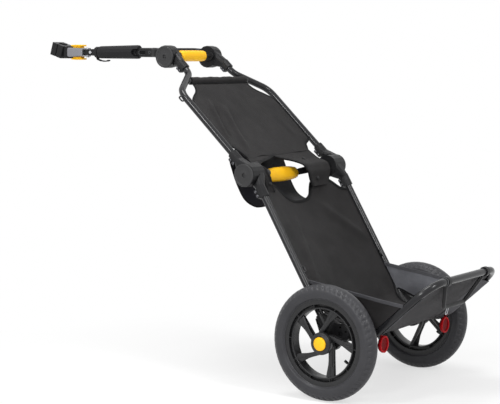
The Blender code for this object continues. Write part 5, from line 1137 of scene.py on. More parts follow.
def upper_tube(name, side):
    corners = [upper_at(s, side * y) for s, y in UPPER_TUBE]
    tube = bent_rod(f"{name}_upper_rail", rounded(corners, UPPER_BENDS, 10), TUBE_RADIUS)
    place = upper_at(UPPER_LOOP_AT, side * (FRAME_HALF + TUBE_RADIUS))
    loop = tie_loop(f"{name}_upper_loop", place, ACROSS * side, UPPER_UP, -UPPER_REAR)
    return join(tube, loop)


def deck_loop():
    start = DECK_HINGE + DECK_FORE * 0.012
    corners = [
        start - ACROSS * DECK_HALF, DECK_KNEE - ACROSS * DECK_HALF, DECK_END - ACROSS * DECK_HALF,
        DECK_END + ACROSS * DECK_HALF, DECK_KNEE + ACROSS * DECK_HALF, start + ACROSS * DECK_HALF,
    ]
    return bent_rod("deck_rail", rounded(corners, DECK_BENDS, 12), TUBE_RADIUS)


for name, side in SIDES:
    dress(lower_tube(name, side), frame_black, "lower_frame", "frame_black", f"{name}_lower_tube")
    dress(upper_tube(name, side), frame_black, "upper_frame", "frame_black", f"{name}_upper_tube")
rail = dress(deck_loop(), frame_black, "deck", "frame_black", "deck_tube")
print("deck rail:", measured(rail.dimensions))

# %% [markdown]
# The foot is a flattened bar bent to a U. Its two legs end in sleeves that turn on the deck's
# cross rail, each beside a thin pale washer, and a small wire loop hangs from its middle. The
# bar is a thick strap whose edges a Bevel modifier softens.

# %% Foot
FOOT_DOWN = heading(246)
FOOT_REACH = 0.083
FOOT_TOP_HALF = 0.1080
FOOT_LOW_HALF = 0.056
WASHER_AT = 0.1185


def foot_bar():
    low = DECK_END + FOOT_DOWN * FOOT_REACH
    out = FOOT_DOWN.cross(ACROSS).normalized()
    corners = [
        DECK_END + FOOT_DOWN * 0.006 - ACROSS * FOOT_TOP_HALF, low - ACROSS * FOOT_LOW_HALF,
        low + ACROSS * FOOT_LOW_HALF, DECK_END + FOOT_DOWN * 0.006 + ACROSS * FOOT_TOP_HALF,
    ]
    path = rounded(corners, (0.016, 0.016), 8)
    across = []
    for k in range(len(path)):
        ahead = (path[min(k + 1, len(path) - 1)] - path[max(k - 1, 0)]).normalized()
        across.append(ahead.cross(out).normalized())
    bar = band("kickstand_bar", path, across, [out] * len(path), 0.0150, 0.0095, corner=0.55)
    apply_modifier(bar, "BEVEL", width=0.0008, segments=2, limit_method="ANGLE")
    return bar


def foot_sleeve(name, side):
    section = [
        (0.0099, -0.0070), (0.0120, -0.0070), (0.0127, -0.0062), (0.0127, 0.0062),
        (0.0120, 0.0070), (0.0099, 0.0070),
    ]
    place = DECK_END + ACROSS * (side * FOOT_TOP_HALF)
    return spun(f"{name}_foot_sleeve", section, place, closed=True)


def deck_washer(name, side):
    section = [
        (0.0097, -0.0012), (0.0111, -0.0012), (0.0115, 0.0), (0.0111, 0.0012), (0.0097, 0.0012),
    ]
    place = DECK_END + ACROSS * (side * WASHER_AT)
    washer = spun(f"{name}_foot_washer", section, place, closed=True)
    return dress(washer, moulded_grey, "deck", "moulded_grey")


def foot_wire():
    low = DECK_END + FOOT_DOWN * FOOT_REACH - ACROSS * 0.030
    corners = [
        low + Vector((0, -0.004, 0.004)), low + Vector((-0.006, -0.0060, -0.022)),
        low + Vector((-0.006, 0.0050, -0.022)), low + Vector((0, 0.004, 0.004)),
    ]
    wire = bent_rod("foot_wire_loop", rounded(corners, (0.0045, 0.0045), 6), 0.0009, 3)
    return dress(wire, steel, "foot", "steel")


foot = join(foot_bar(), *[foot_sleeve(name, side) for name, side in SIDES])
dress(foot, moulded_black, "foot", "moulded_black", "kickstand_foot")
for name, side in SIDES:
    deck_washer(name, side)
foot_wire()
print("foot:", measured(foot.dimensions))

# %% [markdown]
# The upper panel is stretched between the two upper rails. It is a little hollow, its side edges
# are scooped at the neck, its top is sewn round the cross rail and its lower edge is cut as an
# arch over the release grip. Soft creases run along it where it was folded in storage.

# %% Shape of the upper panel
PANEL_HALF = 0.2013
PANEL_HOLLOW = 0.008
HEM_AT = 0.3405
UPPER_BOTTOM = (
    (-0.2013, 0.106), (-0.190, 0.097), (-0.175, 0.088), (-0.164, 0.074), (-0.156, 0.050),
    (-0.148, 0.046), (-0.130, 0.052), (-0.105, 0.0605), (-0.080, 0.0636), (0.158, 0.0636),
    (0.163, 0.084), (0.175, 0.091), (0.190, 0.097), (0.2013, 0.106),
)
UPPER_EDGE = (
    (0, 0.2013), (0.258, 0.2013), (0.281, 0.1890), (0.298, 0.1560), (0.313, 0.1360),
    (0.328, 0.1305), (0.345, 0.1300),
)
# Each crease: across at its lower and upper end, width, lower end, upper end, height.
LONG_CREASES = (
    (-0.190, -0.115, 0.010, 0.09, 0.29, 0.0050), (-0.170, -0.100, 0.008, 0.10, 0.28, -0.0035),
    (-0.128, -0.070, 0.012, 0.07, 0.27, 0.0048), (-0.104, -0.055, 0.010, 0.10, 0.25, -0.0028),
    (0.150, 0.140, 0.014, 0.10, 0.22, 0.0020), (0.070, 0.060, 0.020, 0.20, 0.33, 0.0014),
)


def middle_share(y):
    """1 on the trailer's middle line, 0 at the panels' side edges."""
    return 1 - (y / PANEL_HALF) ** 2


def crease_lift(s, y):
    lift = 0.0
    for start, end, width, low, high, height in LONG_CREASES:
        drift = start + (end - start) * (s - low) / (high - low)
        run = ease((s - low) / 0.05) * ease((high - s) / 0.05)
        lift += height * run * math.exp(-(((y - drift) / width) ** 2))
    return lift


def upper_cloth(u, v):
    side = 2 * u - 1
    bottom = softly(side * PANEL_HALF, UPPER_BOTTOM, 0.006)
    s = bottom + v * (HEM_AT - bottom)
    y = side * softly(s, UPPER_EDGE, 0.012)
    hollow = PANEL_HOLLOW * max(middle_share(y), 0.0) * ease((HEM_AT - s) / HEM_AT * 1.3)
    point = upper_at(s, y, crease_lift(s, y) - hollow)
    fade = min(1.0, (1 - abs(side)) * 8) * min(1.0, (1 - v) * 8)
    return point + UPPER_REAR * (creases((s, y, 0.0), 0.045, 0.0016) * fade)


print("middle of the panel:", measured(upper_cloth(0.5, 0.5)))

# %% [markdown]
# The panel's corners and sides are bound with tape, and its top is a loose tube of cloth round
# the cross rail with a sewn lip below.

# %% Upper panel
CROSS_RAIL_AT = 0.3487
SLEEVE_HALF = 0.1295
SLEEVE_STEPS = 32
SLEEVE_INSIDE = 0.0084
HEM_STEPS = 40


def corner_tape(name, start, end):
    def line(t):
        return start + (end - start) * t, 0.0

    return edge_band(f"{name}_corner_tape", upper_cloth, line, 0.0085, 0.0030, inward=0.0030)


def hem_sleeve():
    section = []
    for k in range(SLEEVE_STEPS + 1):
        share = k / SLEEVE_STEPS
        loose = 0.0103 + 0.0006 * math.sin(share * 21) + 0.0004 * math.sin(share * 53 + 1)
        section.append((loose, -SLEEVE_HALF + 2 * SLEEVE_HALF * share))
    inner = [(SLEEVE_INSIDE, height) for _, height in reversed(section)]
    return spun("hem_sleeve", section + inner, upper_at(CROSS_RAIL_AT), steps=32, closed=True)


def sewn_lip():
    line = [upper_at(0.3375, -0.129 + 0.258 * k / HEM_STEPS, 0.0022) for k in range(HEM_STEPS + 1)]
    across, out = [UPPER_UP] * len(line), [UPPER_REAR] * len(line)
    return band("hem_seam", line, across, out, 0.0060, 0.0024)


upper_panel = cloth("upper_panel_cloth", upper_cloth, 120, 72, (0.402, 0.279))
trims = [corner_tape("left", 0.0, 0.110), corner_tape("right", 0.888, 1.0)]
trims += side_tapes("side_tape", upper_cloth, 0.0025)
sleeve = hem_sleeve()
trims.append(sewn_lip())
for trim in trims:
    dress(trim, binding_black, "upper_frame", "fabric_black")
dress(sleeve, panel_black, "upper_frame", "fabric_black")
dress(upper_panel, panel_black, "upper_frame", "fabric_black", "upper_fabric_panel", angle=60)
print("upper panel:", measured(upper_panel.dimensions))

# %% [markdown]
# The lower panel is a sling. Between its two ears it is scooped to a bound U, it hangs forward
# of the lower rails, and near the axle it turns back to meet the deck. It crosses the deck's
# fold there; it rides on no body, and its place is fixed into its mesh.

# %% Lower sling
SLING_DEPTH = 0.042
SLING_LOW = 0.078
SLING_RUN = 0.408
SLING_TURN = 0.74
SLING_PROFILE = [
    lower_at(SLING_LOW), spot(-0.0255, 0.2015), spot(-0.004, 0.1925), spot(0.022, 0.1872),
    spot(0.048, 0.1800), spot(0.072, 0.1735),
]
SLING_TOP = (
    (0, 0.4020), (0.030, 0.4040), (0.052, 0.4120), (0.066, 0.4260), (0.078, 0.4450),
    (0.092, 0.4560), (0.142, 0.4560), (0.156, 0.4480), (0.172, 0.4180), (0.190, 0.4080),
    (0.2013, 0.4040),
)
DIAGONAL = (Vector((0.06, 0.40)), Vector((0.19, 0.24)))


def sling_depth(s, y):
    return SLING_DEPTH * middle_share(y) * (0.30 + 0.70 * ease((s - SLING_LOW) / SLING_RUN))


def sling_folds(s, y):
    """A fold that slants down from the rim to the right side, and one down the left side."""
    mark = Vector((y, s))
    start, end = DIAGONAL
    line = end - start
    t = clamped((mark - start).dot(line) / line.length_squared)
    away = (mark - start - line * t).length
    slanting = 0.0050 * math.exp(-((away / 0.014) ** 2)) * ease(t * 4) * ease((1 - t) * 4)
    beside = y + 0.10 + (0.30 - s) * 0.35
    upright = 0.0035 * math.exp(-((beside / 0.016) ** 2))
    return slanting + upright * ease((s - 0.10) / 0.06) * ease((0.38 - s) / 0.06)


def sling_cloth(u, v):
    side = 2 * u - 1
    out = side * PANEL_HALF
    if v < SLING_TURN:
        top = softly(abs(side) * PANEL_HALF, SLING_TOP, 0.010)
        s = top - (v / SLING_TURN) * (top - SLING_LOW)
        point = lower_at(s, 0, sling_depth(s, out))
    else:
        share = (v - SLING_TURN) / (1 - SLING_TURN)
        s = SLING_LOW - 0.12 * share
        point = along_curve(SLING_PROFILE, share)
        point = point + LOWER_FRONT * (sling_depth(SLING_LOW, out) * (1 - ease(share * 2)))
    y = out * (1 - 0.10 * ease((0.130 - s) / 0.10))
    fade = min(1.0, (1 - abs(side)) * 10)
    wrinkle = creases((s, y, 3.0), 0.050, 0.0024) * fade
    return point + ACROSS * y - LOWER_FRONT * (sling_folds(s, y) * fade + wrinkle)


sling = cloth("sling_cloth", sling_cloth, 96, 96, (0.402, 0.440))
rim_tape = edge_band(
    "sling_rim_tape", sling_cloth, lambda t: (t, 0.0), 0.0095, 0.0042, inward=0.0030
)
side_hems = side_tapes("sling_hem", sling_cloth, 0.0025, reach=0.98)
for trim in (rim_tape, *side_hems):
    dress(trim, binding_black, None, "fabric_black")
dress(sling, panel_black, None, "fabric_black", "lower_fabric_panel", angle=60)
for piece in (sling, rim_tape, *side_hems):
    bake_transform(piece)
print("sling:", measured(sling.dimensions))

# %% [markdown]
# At each end of the release lever a strip of cloth is carried from the sling's ear round the
# back of the barrel and up under the upper panel, and held by snaps. When the trailer folds,
# its lower end stays and its upper end goes with the upper frame; here the strip and its tape
# ride on no body, and only the snaps go with their frames. Both strips widen upwards, where the
# panel hides them, and the right one is broad all the way.

# %% Shape of the barrel wraps
WRAP_PATH = [
    lower_at(0.432, 0, 0.020), lower_at(0.450, 0, 0.014), lower_at(0.468, 0, 0.004),
    MID_PIVOT + heading(10) * 0.0160, MID_PIVOT + heading(45) * 0.0160,
    MID_PIVOT + heading(80) * 0.0165,
    upper_at(0.0300, 0, -0.0010), upper_at(0.0480, 0, -0.0030), upper_at(0.0680, 0, -0.0050),
]
WRAP_INNER = {
    "left": (
        (0, 0.120), (0.35, 0.146), (0.70, 0.146), (0.78, 0.124), (0.84, 0.092), (0.90, 0.040),
        (1.0, 0.0),
    ),
    "right": (
        (0, 0.072), (0.25, 0.055), (0.60, 0.042), (0.75, 0.038), (0.84, 0.018), (0.90, -0.012),
        (1.0, -0.030),
    ),
}
WRAP_OUTER = ((0, 0.150), (0.25, 0.166), (0.70, 0.166), (0.85, 0.160), (1.0, 0.158))
WRAP_BLUR = 0.06


def wrap_surface(name, side):
    def surface(u, v):
        inner = softly(v, WRAP_INNER[name], WRAP_BLUR)
        outer = softly(v, WRAP_OUTER, WRAP_BLUR)
        y = inner + (outer - inner) * u
        point = along_curve(WRAP_PATH, v) + ACROSS * (side * y)
        with_panel = 0.0028 - PANEL_HOLLOW * middle_share(y)
        point = point + UPPER_REAR * (with_panel * ease((v - 0.72) / 0.22))
        return point + heading(40) * creases((u, v, side), 0.35, 0.0010)

    return surface


print("right wrap's free edge:", measured(wrap_surface("right", 1)(0.0, 0.5)))

# %% [markdown]
# A snap is a domed cap with a rolled edge, spun from its section. Each strip has one near its
# upper end and one near its lower end.

# %% Barrel wraps and snaps
SNAP_SECTION = [
    (0.0, 0.0026), (0.0022, 0.0025), (0.0040, 0.0020), (0.0047, 0.0013), (0.0056, 0.0012),
    (0.0061, 0.0007), (0.0061, -0.0004), (0.0, -0.0004),
]
SNAP_LIFT = 0.0022


def snap(name, place, out, body):
    cap = spun(name, SNAP_SECTION, place + out * SNAP_LIFT, out, steps=28)
    return dress(cap, moulded_black, body, "moulded_black")


for name, side in SIDES:
    surface = wrap_surface(name, side)
    wrap = cloth(f"{name}_barrel_wrap", surface, 24, 64, (0.072, 0.150))
    tape = edge_band(
        f"{name}_wrap_tape", surface, lambda t: (0.0, t), 0.0090, 0.0040, inward=0.0022 * side
    )
    snaps = [
        snap(f"{name}_upper_snap", surface(0.42, 0.76), UPPER_REAR, "upper_frame"),
        snap(f"{name}_lower_snap", surface(0.35, 0.14), -LOWER_FRONT, "lower_frame"),
    ]
    dress(tape, binding_black, None, "fabric_black")
    dress(wrap, panel_black, None, "fabric_black", angle=60)
    for piece in (wrap, tape):
        low_end, high_end = lower_at(0.462), upper_at(0.020)
        tuple(low_end)
        tuple(high_end)
        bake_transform(piece)
    made = sum(face.area for face in wrap.data.polygons) / 2
    print(wrap.name, measured(wrap.dimensions), "area", round(made, 4))

# %% [markdown]
# In front of the grip hangs the guard, a dark satin loop from the upper panel round to the
# lower one. When the upper frame folds forward, the real cloth crumples between the two panels.
# Here the guard and its tapes ride on no body, and their places are fixed into their meshes.

# %% Guard
GUARD_BELLY = (
    (-0.118, 0.039), (-0.108, -0.001), (-0.091, -0.040), (-0.069, -0.074), (-0.042, -0.090),
    (-0.016, -0.092),
)
GUARD_HALF = 0.130
GUARD_TOP = 0.114
GUARD_LOW = 0.405


def guard_cloth(u, v):
    side = 2 * u - 1
    y = (GUARD_HALF - 0.012 * ease(abs(v - 0.5) * 2 - 0.4)) * side
    marks = [upper_at(GUARD_TOP, 0, -0.0033 - PANEL_HOLLOW * middle_share(y))]
    marks += [MID_PIVOT + Vector((x, 0, z)) for x, z in GUARD_BELLY]
    marks.append(lower_at(GUARD_LOW, 0, sling_depth(GUARD_LOW, y) + 0.004))
    point = along_curve(marks, v) + ACROSS * y
    fade = min(1.0, (1 - abs(side)) * 6)
    return point + LOWER_FRONT * (creases((y, v * 0.3, 7.0), 0.05, 0.0030) * fade)


guard = cloth("guard_cloth", guard_cloth, 56, 72, (0.258, 0.300))
guard_tapes = side_tapes("guard_tape", guard_cloth, 0.0022)
for tape in guard_tapes:
    dress(tape, binding_black, None, "fabric_black")
dress(guard, guard_blue, None, "fabric_grey", "front_guard", angle=60)
for piece in (guard, *guard_tapes):
    low_end, high_end = MID_PIVOT - LOWER_UP * 0.100, MID_PIVOT + LOWER_UP * 0.112
    tuple(low_end)
    tuple(high_end)
    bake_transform(piece)
print("guard:", measured(guard.dimensions))

# %% [markdown]
# The deck's floor is a pitted, coated cloth laced into the U of the deck's tube. Its two sides
# are smooth cloth that turns down under the tube, set off by a thin black seam. The floor's
# outline follows the tube's bends: straight at first, then round on the corner's radius.

# %% Shape of the deck floor
FLOOR_RUN = 0.2432
FLOOR_HALF = 0.1832
FLOOR_START = 0.024
CORNER_START = 0.188
CORNER_RADIUS = 0.0555
KNEE_OUT = heading(106)
SIDE_TURN = (
    (0.1470, 0.0016), (0.1620, 0.0026), (0.1760, 0.0060), (0.1860, 0.0098), (0.1935, 0.0108),
)


def floor_half_width(s):
    past = max(0.0, s - CORNER_START)
    return FLOOR_HALF - CORNER_RADIUS + math.sqrt(max(CORNER_RADIUS**2 - past**2, 0.0))


def floor_line(s):
    """The deck's middle line, with its knee rounded off."""
    run = s - FLOOR_START
    point = DECK_KNEE + (DECK_FORE if run < 0 else DECK_ALONG) * run
    lift = 0.006 * ease(1 - abs(run) / 0.045)
    return point + KNEE_OUT * lift


def floor_cloth(u, v):
    s = v * FLOOR_RUN
    y = (2 * u - 1) * floor_half_width(s)
    slack = 0.0050 * (1 - (y / FLOOR_HALF) ** 2) * ease(v * 3) * ease((1 - v) * 5)
    wrinkle = creases((s, y, 11.0), 0.05, 0.0014) * min(1.0, (1 - abs(2 * u - 1)) * 8)
    return floor_line(s) + ACROSS * y + DECK_UNDER * (slack + wrinkle)


def side_wrap(side):
    def surface(u, v):
        s = 0.030 + v * 0.178
        place = u * (len(SIDE_TURN) - 1)
        k = min(int(place), len(SIDE_TURN) - 2)
        (y0, low0), (y1, low1) = SIDE_TURN[k : k + 2]
        y, low = y0 + (y1 - y0) * (place - k), low0 + (low1 - low0) * (place - k)
        y -= FLOOR_HALF - floor_half_width(s)
        wrinkle = creases((s, u * 0.05, side), 0.04, 0.0010)
        return floor_line(s) + ACROSS * (side * y) + DECK_UNDER * (low + wrinkle)

    return surface


print("floor half width at its end:", round(floor_half_width(FLOOR_RUN), 4))

# %% [markdown]
# Floor, side strips and seams are laid as cloth and tape on these surfaces, and the floor's two
# free edges are bound.

# %% Deck floor
deck_cloth = cloth("deck_floor_cloth", floor_cloth, 72, 56, (0.366, 0.245))
floor_trims = [
    edge_band(
        f"floor_{name}_tape", floor_cloth, lambda t, v=v: (t, v), 0.0080, 0.0030, inward=inward
    )
    for name, v, inward in (("rear", 1.0, -0.0030), ("front", 0.0, 0.0030))
]
for name, side in SIDES:
    surface = side_wrap(side)
    wrap = cloth(f"{name}_floor_wrap", surface, 20, 48, (0.050, 0.178), 0.0014)
    seam = edge_band(f"{name}_floor_seam", surface, lambda t: (0.0, t), 0.0034, 0.0024)
    dress(wrap, wrap_grey, "deck", "fabric_grey", angle=60)
    dress(seam, binding_black, "deck", "fabric_black")
for trim in floor_trims:
    dress(trim, binding_black, "deck", "fabric_black")
dress(deck_cloth, floor_grey, "deck", "fabric_grey", "deck_floor", angle=60)
print("deck floor:", measured(deck_cloth.dimensions))

# %% [markdown]
# On each side a gusset closes the corner between the lower rail and the deck. Its outer face is
# the panels' black cloth, and its inner face a paler grey, which is painted light for the lit
# inside of the same cloth. A wide pale grey hem along its top edge is a painted highlight. It
# crosses the deck's fold; it rides on no body, and its place is fixed into its mesh.

# %% Side gussets
GUSSET_TOP = [
    lower_at(0.1690, 0, -0.0026), spot(0.020, 0.2815), spot(0.120, 0.2665), spot(0.1960, 0.2572),
]
GUSSET_LOW = [
    lower_at(0.0860, 0, -0.0026), spot(-0.022, 0.2190), spot(0.020, 0.2030),
    spot(0.070, 0.1962), spot(0.118, 0.1868),
]
GUSSET_HALF = 0.2008


def gusset_surface(side):
    def surface(u, v):
        low, high = along_curve(GUSSET_LOW, u), along_curve(GUSSET_TOP, u)
        point = low + (high - low) * v
        belly = 0.0050 * math.sin(math.pi * u) * math.sin(math.pi * v)
        drape = creases((u * 0.25, v * 0.06, side), 0.045, 0.0030) * math.sin(math.pi * u)
        return point + ACROSS * (side * (GUSSET_HALF - belly - drape))

    return surface


def model_gusset(name, side):
    surface = gusset_surface(side)
    gusset = cloth(f"{name}_gusset_cloth", surface, 64, 40, (0.270, 0.076))
    gusset.data.materials.clear()
    gusset.data.materials.append(panel_black)
    gusset.data.materials.append(painted_lit_gusset)
    # Faces that look inwards get the paler grey, painted light for the lit inside; outer faces keep
    # the black.
    for face in gusset.data.polygons:
        face.material_index = 1 if face.normal.y * side < 0 else 0
    # The hem's pale grey is a painted highlight along the lit top edge.
    hem = edge_band(
        f"{name}_gusset_hem", surface, lambda t: (t, 1.0), 0.0100, 0.0032, inward=-0.0040
    )
    tape = edge_band(
        f"{name}_gusset_tape", surface, lambda t: (t, 0.0), 0.0070, 0.0028, inward=0.0030
    )
    dress(gusset, panel_black, None, "fabric_grey", f"{name}_gusset", angle=60)
    dress(hem, painted_highlight_hem, None, "fabric_grey")
    dress(tape, binding_black, None, "fabric_black")
    for piece in (gusset, hem, tape):
        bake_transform(piece)
    return gusset


for name, side in SIDES:
    print(name, "gusset", measured(model_gusset(name, side).dimensions))

# %% [markdown]
# The lower grip is a soft yellow bolster, fatter in the middle, with a mouth at each end where
# the lever's arm goes in. The upper grip is a smaller round one. A stretched ball could stand
# for them, but it has no mouths, so both are rings of points swept along their length and
# closed inside the mouth.

# %% Release grips
OVAL_POINTS = 28
OVAL_POWER = 2.4
GRIP_STEPS = 24
# How far along the half length each ring of the mouth sits, and its size against the end's.
MOUTH = ((0.93, 0.74), (0.985, 0.80))


def oval(wide, tall, across, up):
    """A ring a little squarer than an ellipse."""
    ring = []
    for k in range(OVAL_POINTS):
        turn_by = 2 * math.pi * k / OVAL_POINTS
        c, s = math.cos(turn_by), math.sin(turn_by)
        x = math.copysign(abs(c) ** (2 / OVAL_POWER), c) * wide / 2
        z = math.copysign(abs(s) ** (2 / OVAL_POWER), s) * tall / 2
        ring.append(across * x + up * z)
    return ring


def bolster(name, centre, across, up, half, size_at, wide, tall):
    path, sections = [], []

    def add_ring(share, ring_wide, ring_tall):
        path.append(centre + ACROSS * (share * half))
        sections.append(oval(ring_wide, ring_tall, across, up))

    end_wide, end_tall = wide * size_at(1), tall * size_at(1)
    for share, mouth in MOUTH:
        add_ring(-share, end_wide * mouth, end_tall * mouth)
    for k in range(2 * GRIP_STEPS + 1):
        share = math.sin(math.pi / 2 * (k / GRIP_STEPS - 1))
        size = size_at(abs(share))
        add_ring(share, wide * (0.3 + 0.7 * size), tall * size)
    for share, mouth in reversed(MOUTH):
        add_ring(share, end_wide * mouth, end_tall * mouth)
    return swept(name, path, sections)


def pillow_size(share):
    return 1 - 0.30 * share**3 - 0.16 * ease((share - 0.90) / 0.10) ** 2


def round_size(share):
    return 1 - 0.04 * share**2 - 0.30 * ease((share - 0.86) / 0.14) ** 2


mid_reach, top_reach = heading(199), heading(8)
mid_place = MID_PIVOT + mid_reach * 0.040
top_place = TOP_PIVOT + top_reach * 0.016 - ACROSS * 0.012
mid_grip = bolster(
    "mid_grip_bolster", mid_place, mid_reach, heading(289), 0.076, pillow_size, 0.0260, 0.0405
)
top_grip = bolster(
    "top_grip_bolster", top_place, top_reach, heading(98), 0.0573, round_size, 0.031, 0.031
)
dress(mid_grip, release_yellow, "mid_lever", "release_yellow", "mid_release_grip", angle=50)
dress(top_grip, release_yellow, "top_lever", "release_yellow", "top_release_grip", angle=50)
print("grips:", measured(mid_grip.dimensions), measured(top_grip.dimensions))

# %% [markdown]
# Each fold turns on a large flat-headed pivot. Its cap has a raised ring near the edge, a
# shallow dish and a small hexagon socket in the middle. It is spun from its section, and the
# socket is a spin of only six steps.

# %% Pivot caps


def measured_disc(node, along):
    """Centre line, radius, inner end and outer face of a round node that lies across."""
    low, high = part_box(node)
    radius = (high[along] - low[along]) / 2
    inner, face = sorted((abs(low[1]), abs(high[1])))
    return on_middle_plane(middle_of(node)), radius, inner, face


def model_cap(node, side, body):
    centre, radius, inner, face = measured_disc(node, 0)
    out = ACROSS * side
    section = [
        (0.0, inner), (0.0055, inner), (0.0058, inner + 0.0004), (0.0058, face - 0.0050),
        (radius - 0.0006, face - 0.0047), (radius, face - 0.0040), (radius, face - 0.0014),
        (radius - 0.0004, face - 0.0005), (radius - 0.0013, face), (radius - 0.0042, face),
        (radius - 0.0050, face - 0.0004), (radius - 0.0056, face - 0.0012),
        (radius * 0.55, face - 0.0015), (0.0098, face - 0.0012), (0.0086, face - 0.0007),
        (0.0062, face - 0.0006),
    ]
    socket = [
        (0.0062, face - 0.0006), (0.0052, face - 0.0008), (0.0050, face - 0.0034),
        (0.0, face - 0.0034),
    ]
    ring = [
        (0.0062, face - 0.0006), (0.0068, face - 0.0012), (0.0068, face - 0.0030),
        (0.0050, face - 0.0034),
    ]
    cap = spun(f"{node}_cap", section, centre, out, steps=56)
    hexagon = spun(f"{node}_socket", socket, centre, out, steps=6)
    collar = spun(f"{node}_collar", ring, centre, out, steps=24, closed=True)
    return dress(join(cap, hexagon, collar), cap_grey, body, "moulded_black", node, angle=30)


CAP_GREY = (0.0270, 0.0270, 0.0280)
cap_grey = moulded("pivot_cap_plastic", CAP_GREY, 0.36, 0.6 * MILLIMETRE, 0.00003, gloss=0.3)
for name, side in SIDES:
    for place in ("mid", "top"):
        node = f"{name}_{place}_pivot"
        cap = model_cap(node, side, nodes[node].parent.name.split(":")[-1])
        print(cap.name, measured(cap.dimensions, 4))

# %% [markdown]
# Each knuckle is clamped on its tube by two screws through a flange. The heads are low domes of
# dark steel with a small dimple for the key. Each is spun from the same short section.

# %% Screw heads
SCREW_SECTION = [
    (0.0, 0.0012), (0.0017, 0.0012), (0.0019, 0.0026), (0.0030, 0.0022), (0.0039, 0.0012),
    (0.0042, -0.0004), (0.0, -0.0004),
]
SCREW_OUT = 0.0085
SCREW_ASIDE = 0.0135
FOLD_SCREWS = (0.0513, 0.0638)
NECK_SCREWS = (0.0535, 0.0618)


def knuckle_screws(name, side, body, places, tube_y):
    heads = []
    for k, place in enumerate(places):
        for way in (-1, 1):
            centre = place + ACROSS * (side * tube_y + way * SCREW_OUT)
            heads.append(
                spun(f"{name}_screw_{k}", SCREW_SECTION, centre, ACROSS * way, steps=18)
            )
    return dress(join(*heads), screw_steel, body, "steel", angle=30)


screw_steel = metal("dark_screw_steel", (0.12, 0.12, 0.13), 0.38)
for name, side in SIDES:
    upper = [upper_at(s, 0, -SCREW_ASIDE) for s in FOLD_SCREWS]
    lower = [lower_at(LOWER_LENGTH - s, 0, SCREW_ASIDE) for s in FOLD_SCREWS]
    neck = [upper_at(UPPER_LENGTH - s, 0, -SCREW_ASIDE) for s in NECK_SCREWS]
    knuckle_screws(f"{name}_upper", side, "upper_frame", upper, FRAME_HALF)
    knuckle_screws(f"{name}_lower", side, "lower_frame", lower, FRAME_HALF)
    heads = knuckle_screws(f"{name}_neck", side, "upper_frame", neck, NECK_HALF)
print("screw heads:", measured(heads.dimensions, 4))

# %% [markdown]
# Where the arm goes into its sleeve, a long slot shows the catch that holds it out, and two
# small holes behind it are the catch's other places. Each has a thin raised rim. A ray from
# each side finds the arm's surface, so that the rim lies on it. The holes are not cut: a thin
# near-black plate on the arm's side is a painted shade for the dark inside each one, and the
# rims are a pale grey that is a painted highlight for their lit edges.

# %% Arm catch
RAY_START = 0.3
CATCH_HEIGHT = -0.006
CATCHES = ((0.318, 0.030, 0.0130), (0.345, 0.0070, 0.0070), (0.357, 0.0070, 0.0070))


def arm_side(x, z, side):
    """Where a line from the given side first meets the arm's yoke."""
    node = nodes["arm_yoke"]
    back = node.matrix_world.inverted()
    start = back @ Vector((x, side * RAY_START, z))
    aim = (back.to_3x3() @ (ACROSS * -side)).normalized()
    hit, place, _, _ = node.ray_cast(start, aim)
    return (node.matrix_world @ place).y if hit else 0.0


def stadium(length, height, steps=8):
    """Points round a slot with half-round ends, in the plane of the arm's side."""
    radius, ring = height / 2, []
    for middle, start in ((length / 2 - radius, -90), (radius - length / 2, 90)):
        for k in range(steps + 1):
            turn_by = math.radians(start + 180 * k / steps)
            x, z = middle + radius * math.cos(turn_by), radius * math.sin(turn_by)
            ring.append(Vector((x, 0, z)))
    return ring


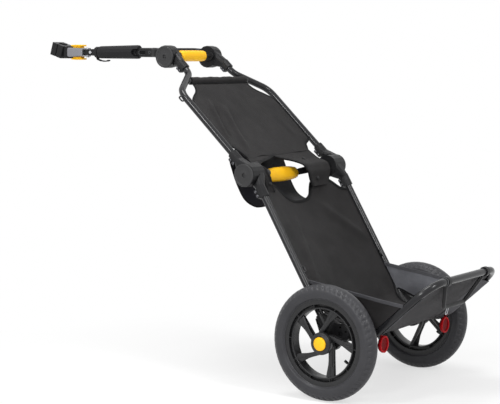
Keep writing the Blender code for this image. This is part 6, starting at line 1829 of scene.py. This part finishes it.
def model_slot(name, x, side, length, height):
    place = Vector((x, arm_side(x, CATCH_HEIGHT, side), CATCH_HEIGHT))
    out = ACROSS * side
    ring = stadium(length, height)
    rim_path = [place + mark + out * 0.0002 for mark in ring]
    # The rim's pale grey is a painted highlight for the lit edge of the hole.
    rim = bent_rod(f"{name}_rim", rim_path, 0.0009, 2, closed=True)
    # A thin near-black plate on the arm's face: painted shade for the inside of the hole.
    painted_hole_shade = swept(f"{name}_well", [place - out * 0.0006, place + out * 0.0004], [ring, ring])
    dress(rim, moulded_grey, "tow_arm", "moulded_grey")
    dress(painted_hole_shade, binding_black, "tow_arm", "moulded_black")
    return place


for x, length, height in CATCHES:
    for name, side in SIDES:
        print("catch at", measured(model_slot(f"{name}_catch", x, side, length, height), 4))

# %% [markdown]
# The hub's release button is a low yellow dome with a rim, pressed in to free the wheel. A
# quarter circle closes its section, so that the dome runs out flat in the middle.

# %% Hub buttons
DOME_STEPS = 8
DOME_HEIGHT = 0.0030


def model_button(node, side, body):
    centre, radius, inner, face = measured_disc(node, 2)
    section = [
        (0.0, inner), (radius - 0.0015, inner), (radius, inner + 0.0008), (radius, face - 0.0032),
    ]
    for k in range(DOME_STEPS + 1):
        turn_by = math.pi / 2 * k / DOME_STEPS
        reach = radius * (0.94 - 0.94 * (1 - math.cos(turn_by)))
        section.append((reach, face - DOME_HEIGHT + DOME_HEIGHT * math.sin(turn_by)))
    button = spun(f"{node}_dome", section, centre, ACROSS * side, steps=48)
    return dress(button, release_yellow, body, "release_yellow", node)


for name, side in SIDES:
    button = model_button(f"{name}_wheel_button", side, f"{name}_hub_button")
print("button:", measured(button.dimensions, 4))

# %% [markdown]
# The reflectors are round lenses in a raised rim of plainer red plastic. The lens is the
# frame's own solid, and the rim is spun round its edge.

# %% Reflector rims
RIM_SECTION = [
    (0.0216, -0.0050), (0.0219, -0.0030), (0.0217, 0.0004), (0.0206, 0.0011),
    (0.0176, 0.0011), (0.0168, 0.0002), (0.0166, -0.0030),
]
TO_THE_REAR = Vector((1, 0, 0))


def reflector_rim(name, side):
    centre = spot(0.121, 0.146, side * 0.167)
    centre.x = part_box(f"{name}_reflector")[1][0]
    rim = spun(f"{name}_reflector_rim", RIM_SECTION, centre, TO_THE_REAR, steps=48, closed=True)
    return dress(rim, rim_red, "deck", "reflector_red")


RIM_RED = (0.34, 0.003, 0.006)
rim_red = moulded("reflector_rim_red", RIM_RED, 0.34, 0.6 * MILLIMETRE, 0.00003, gloss=0.08)
for name, side in SIDES:
    rim = reflector_rim(name, side)
print("reflector rim:", measured(rim.dimensions, 4))
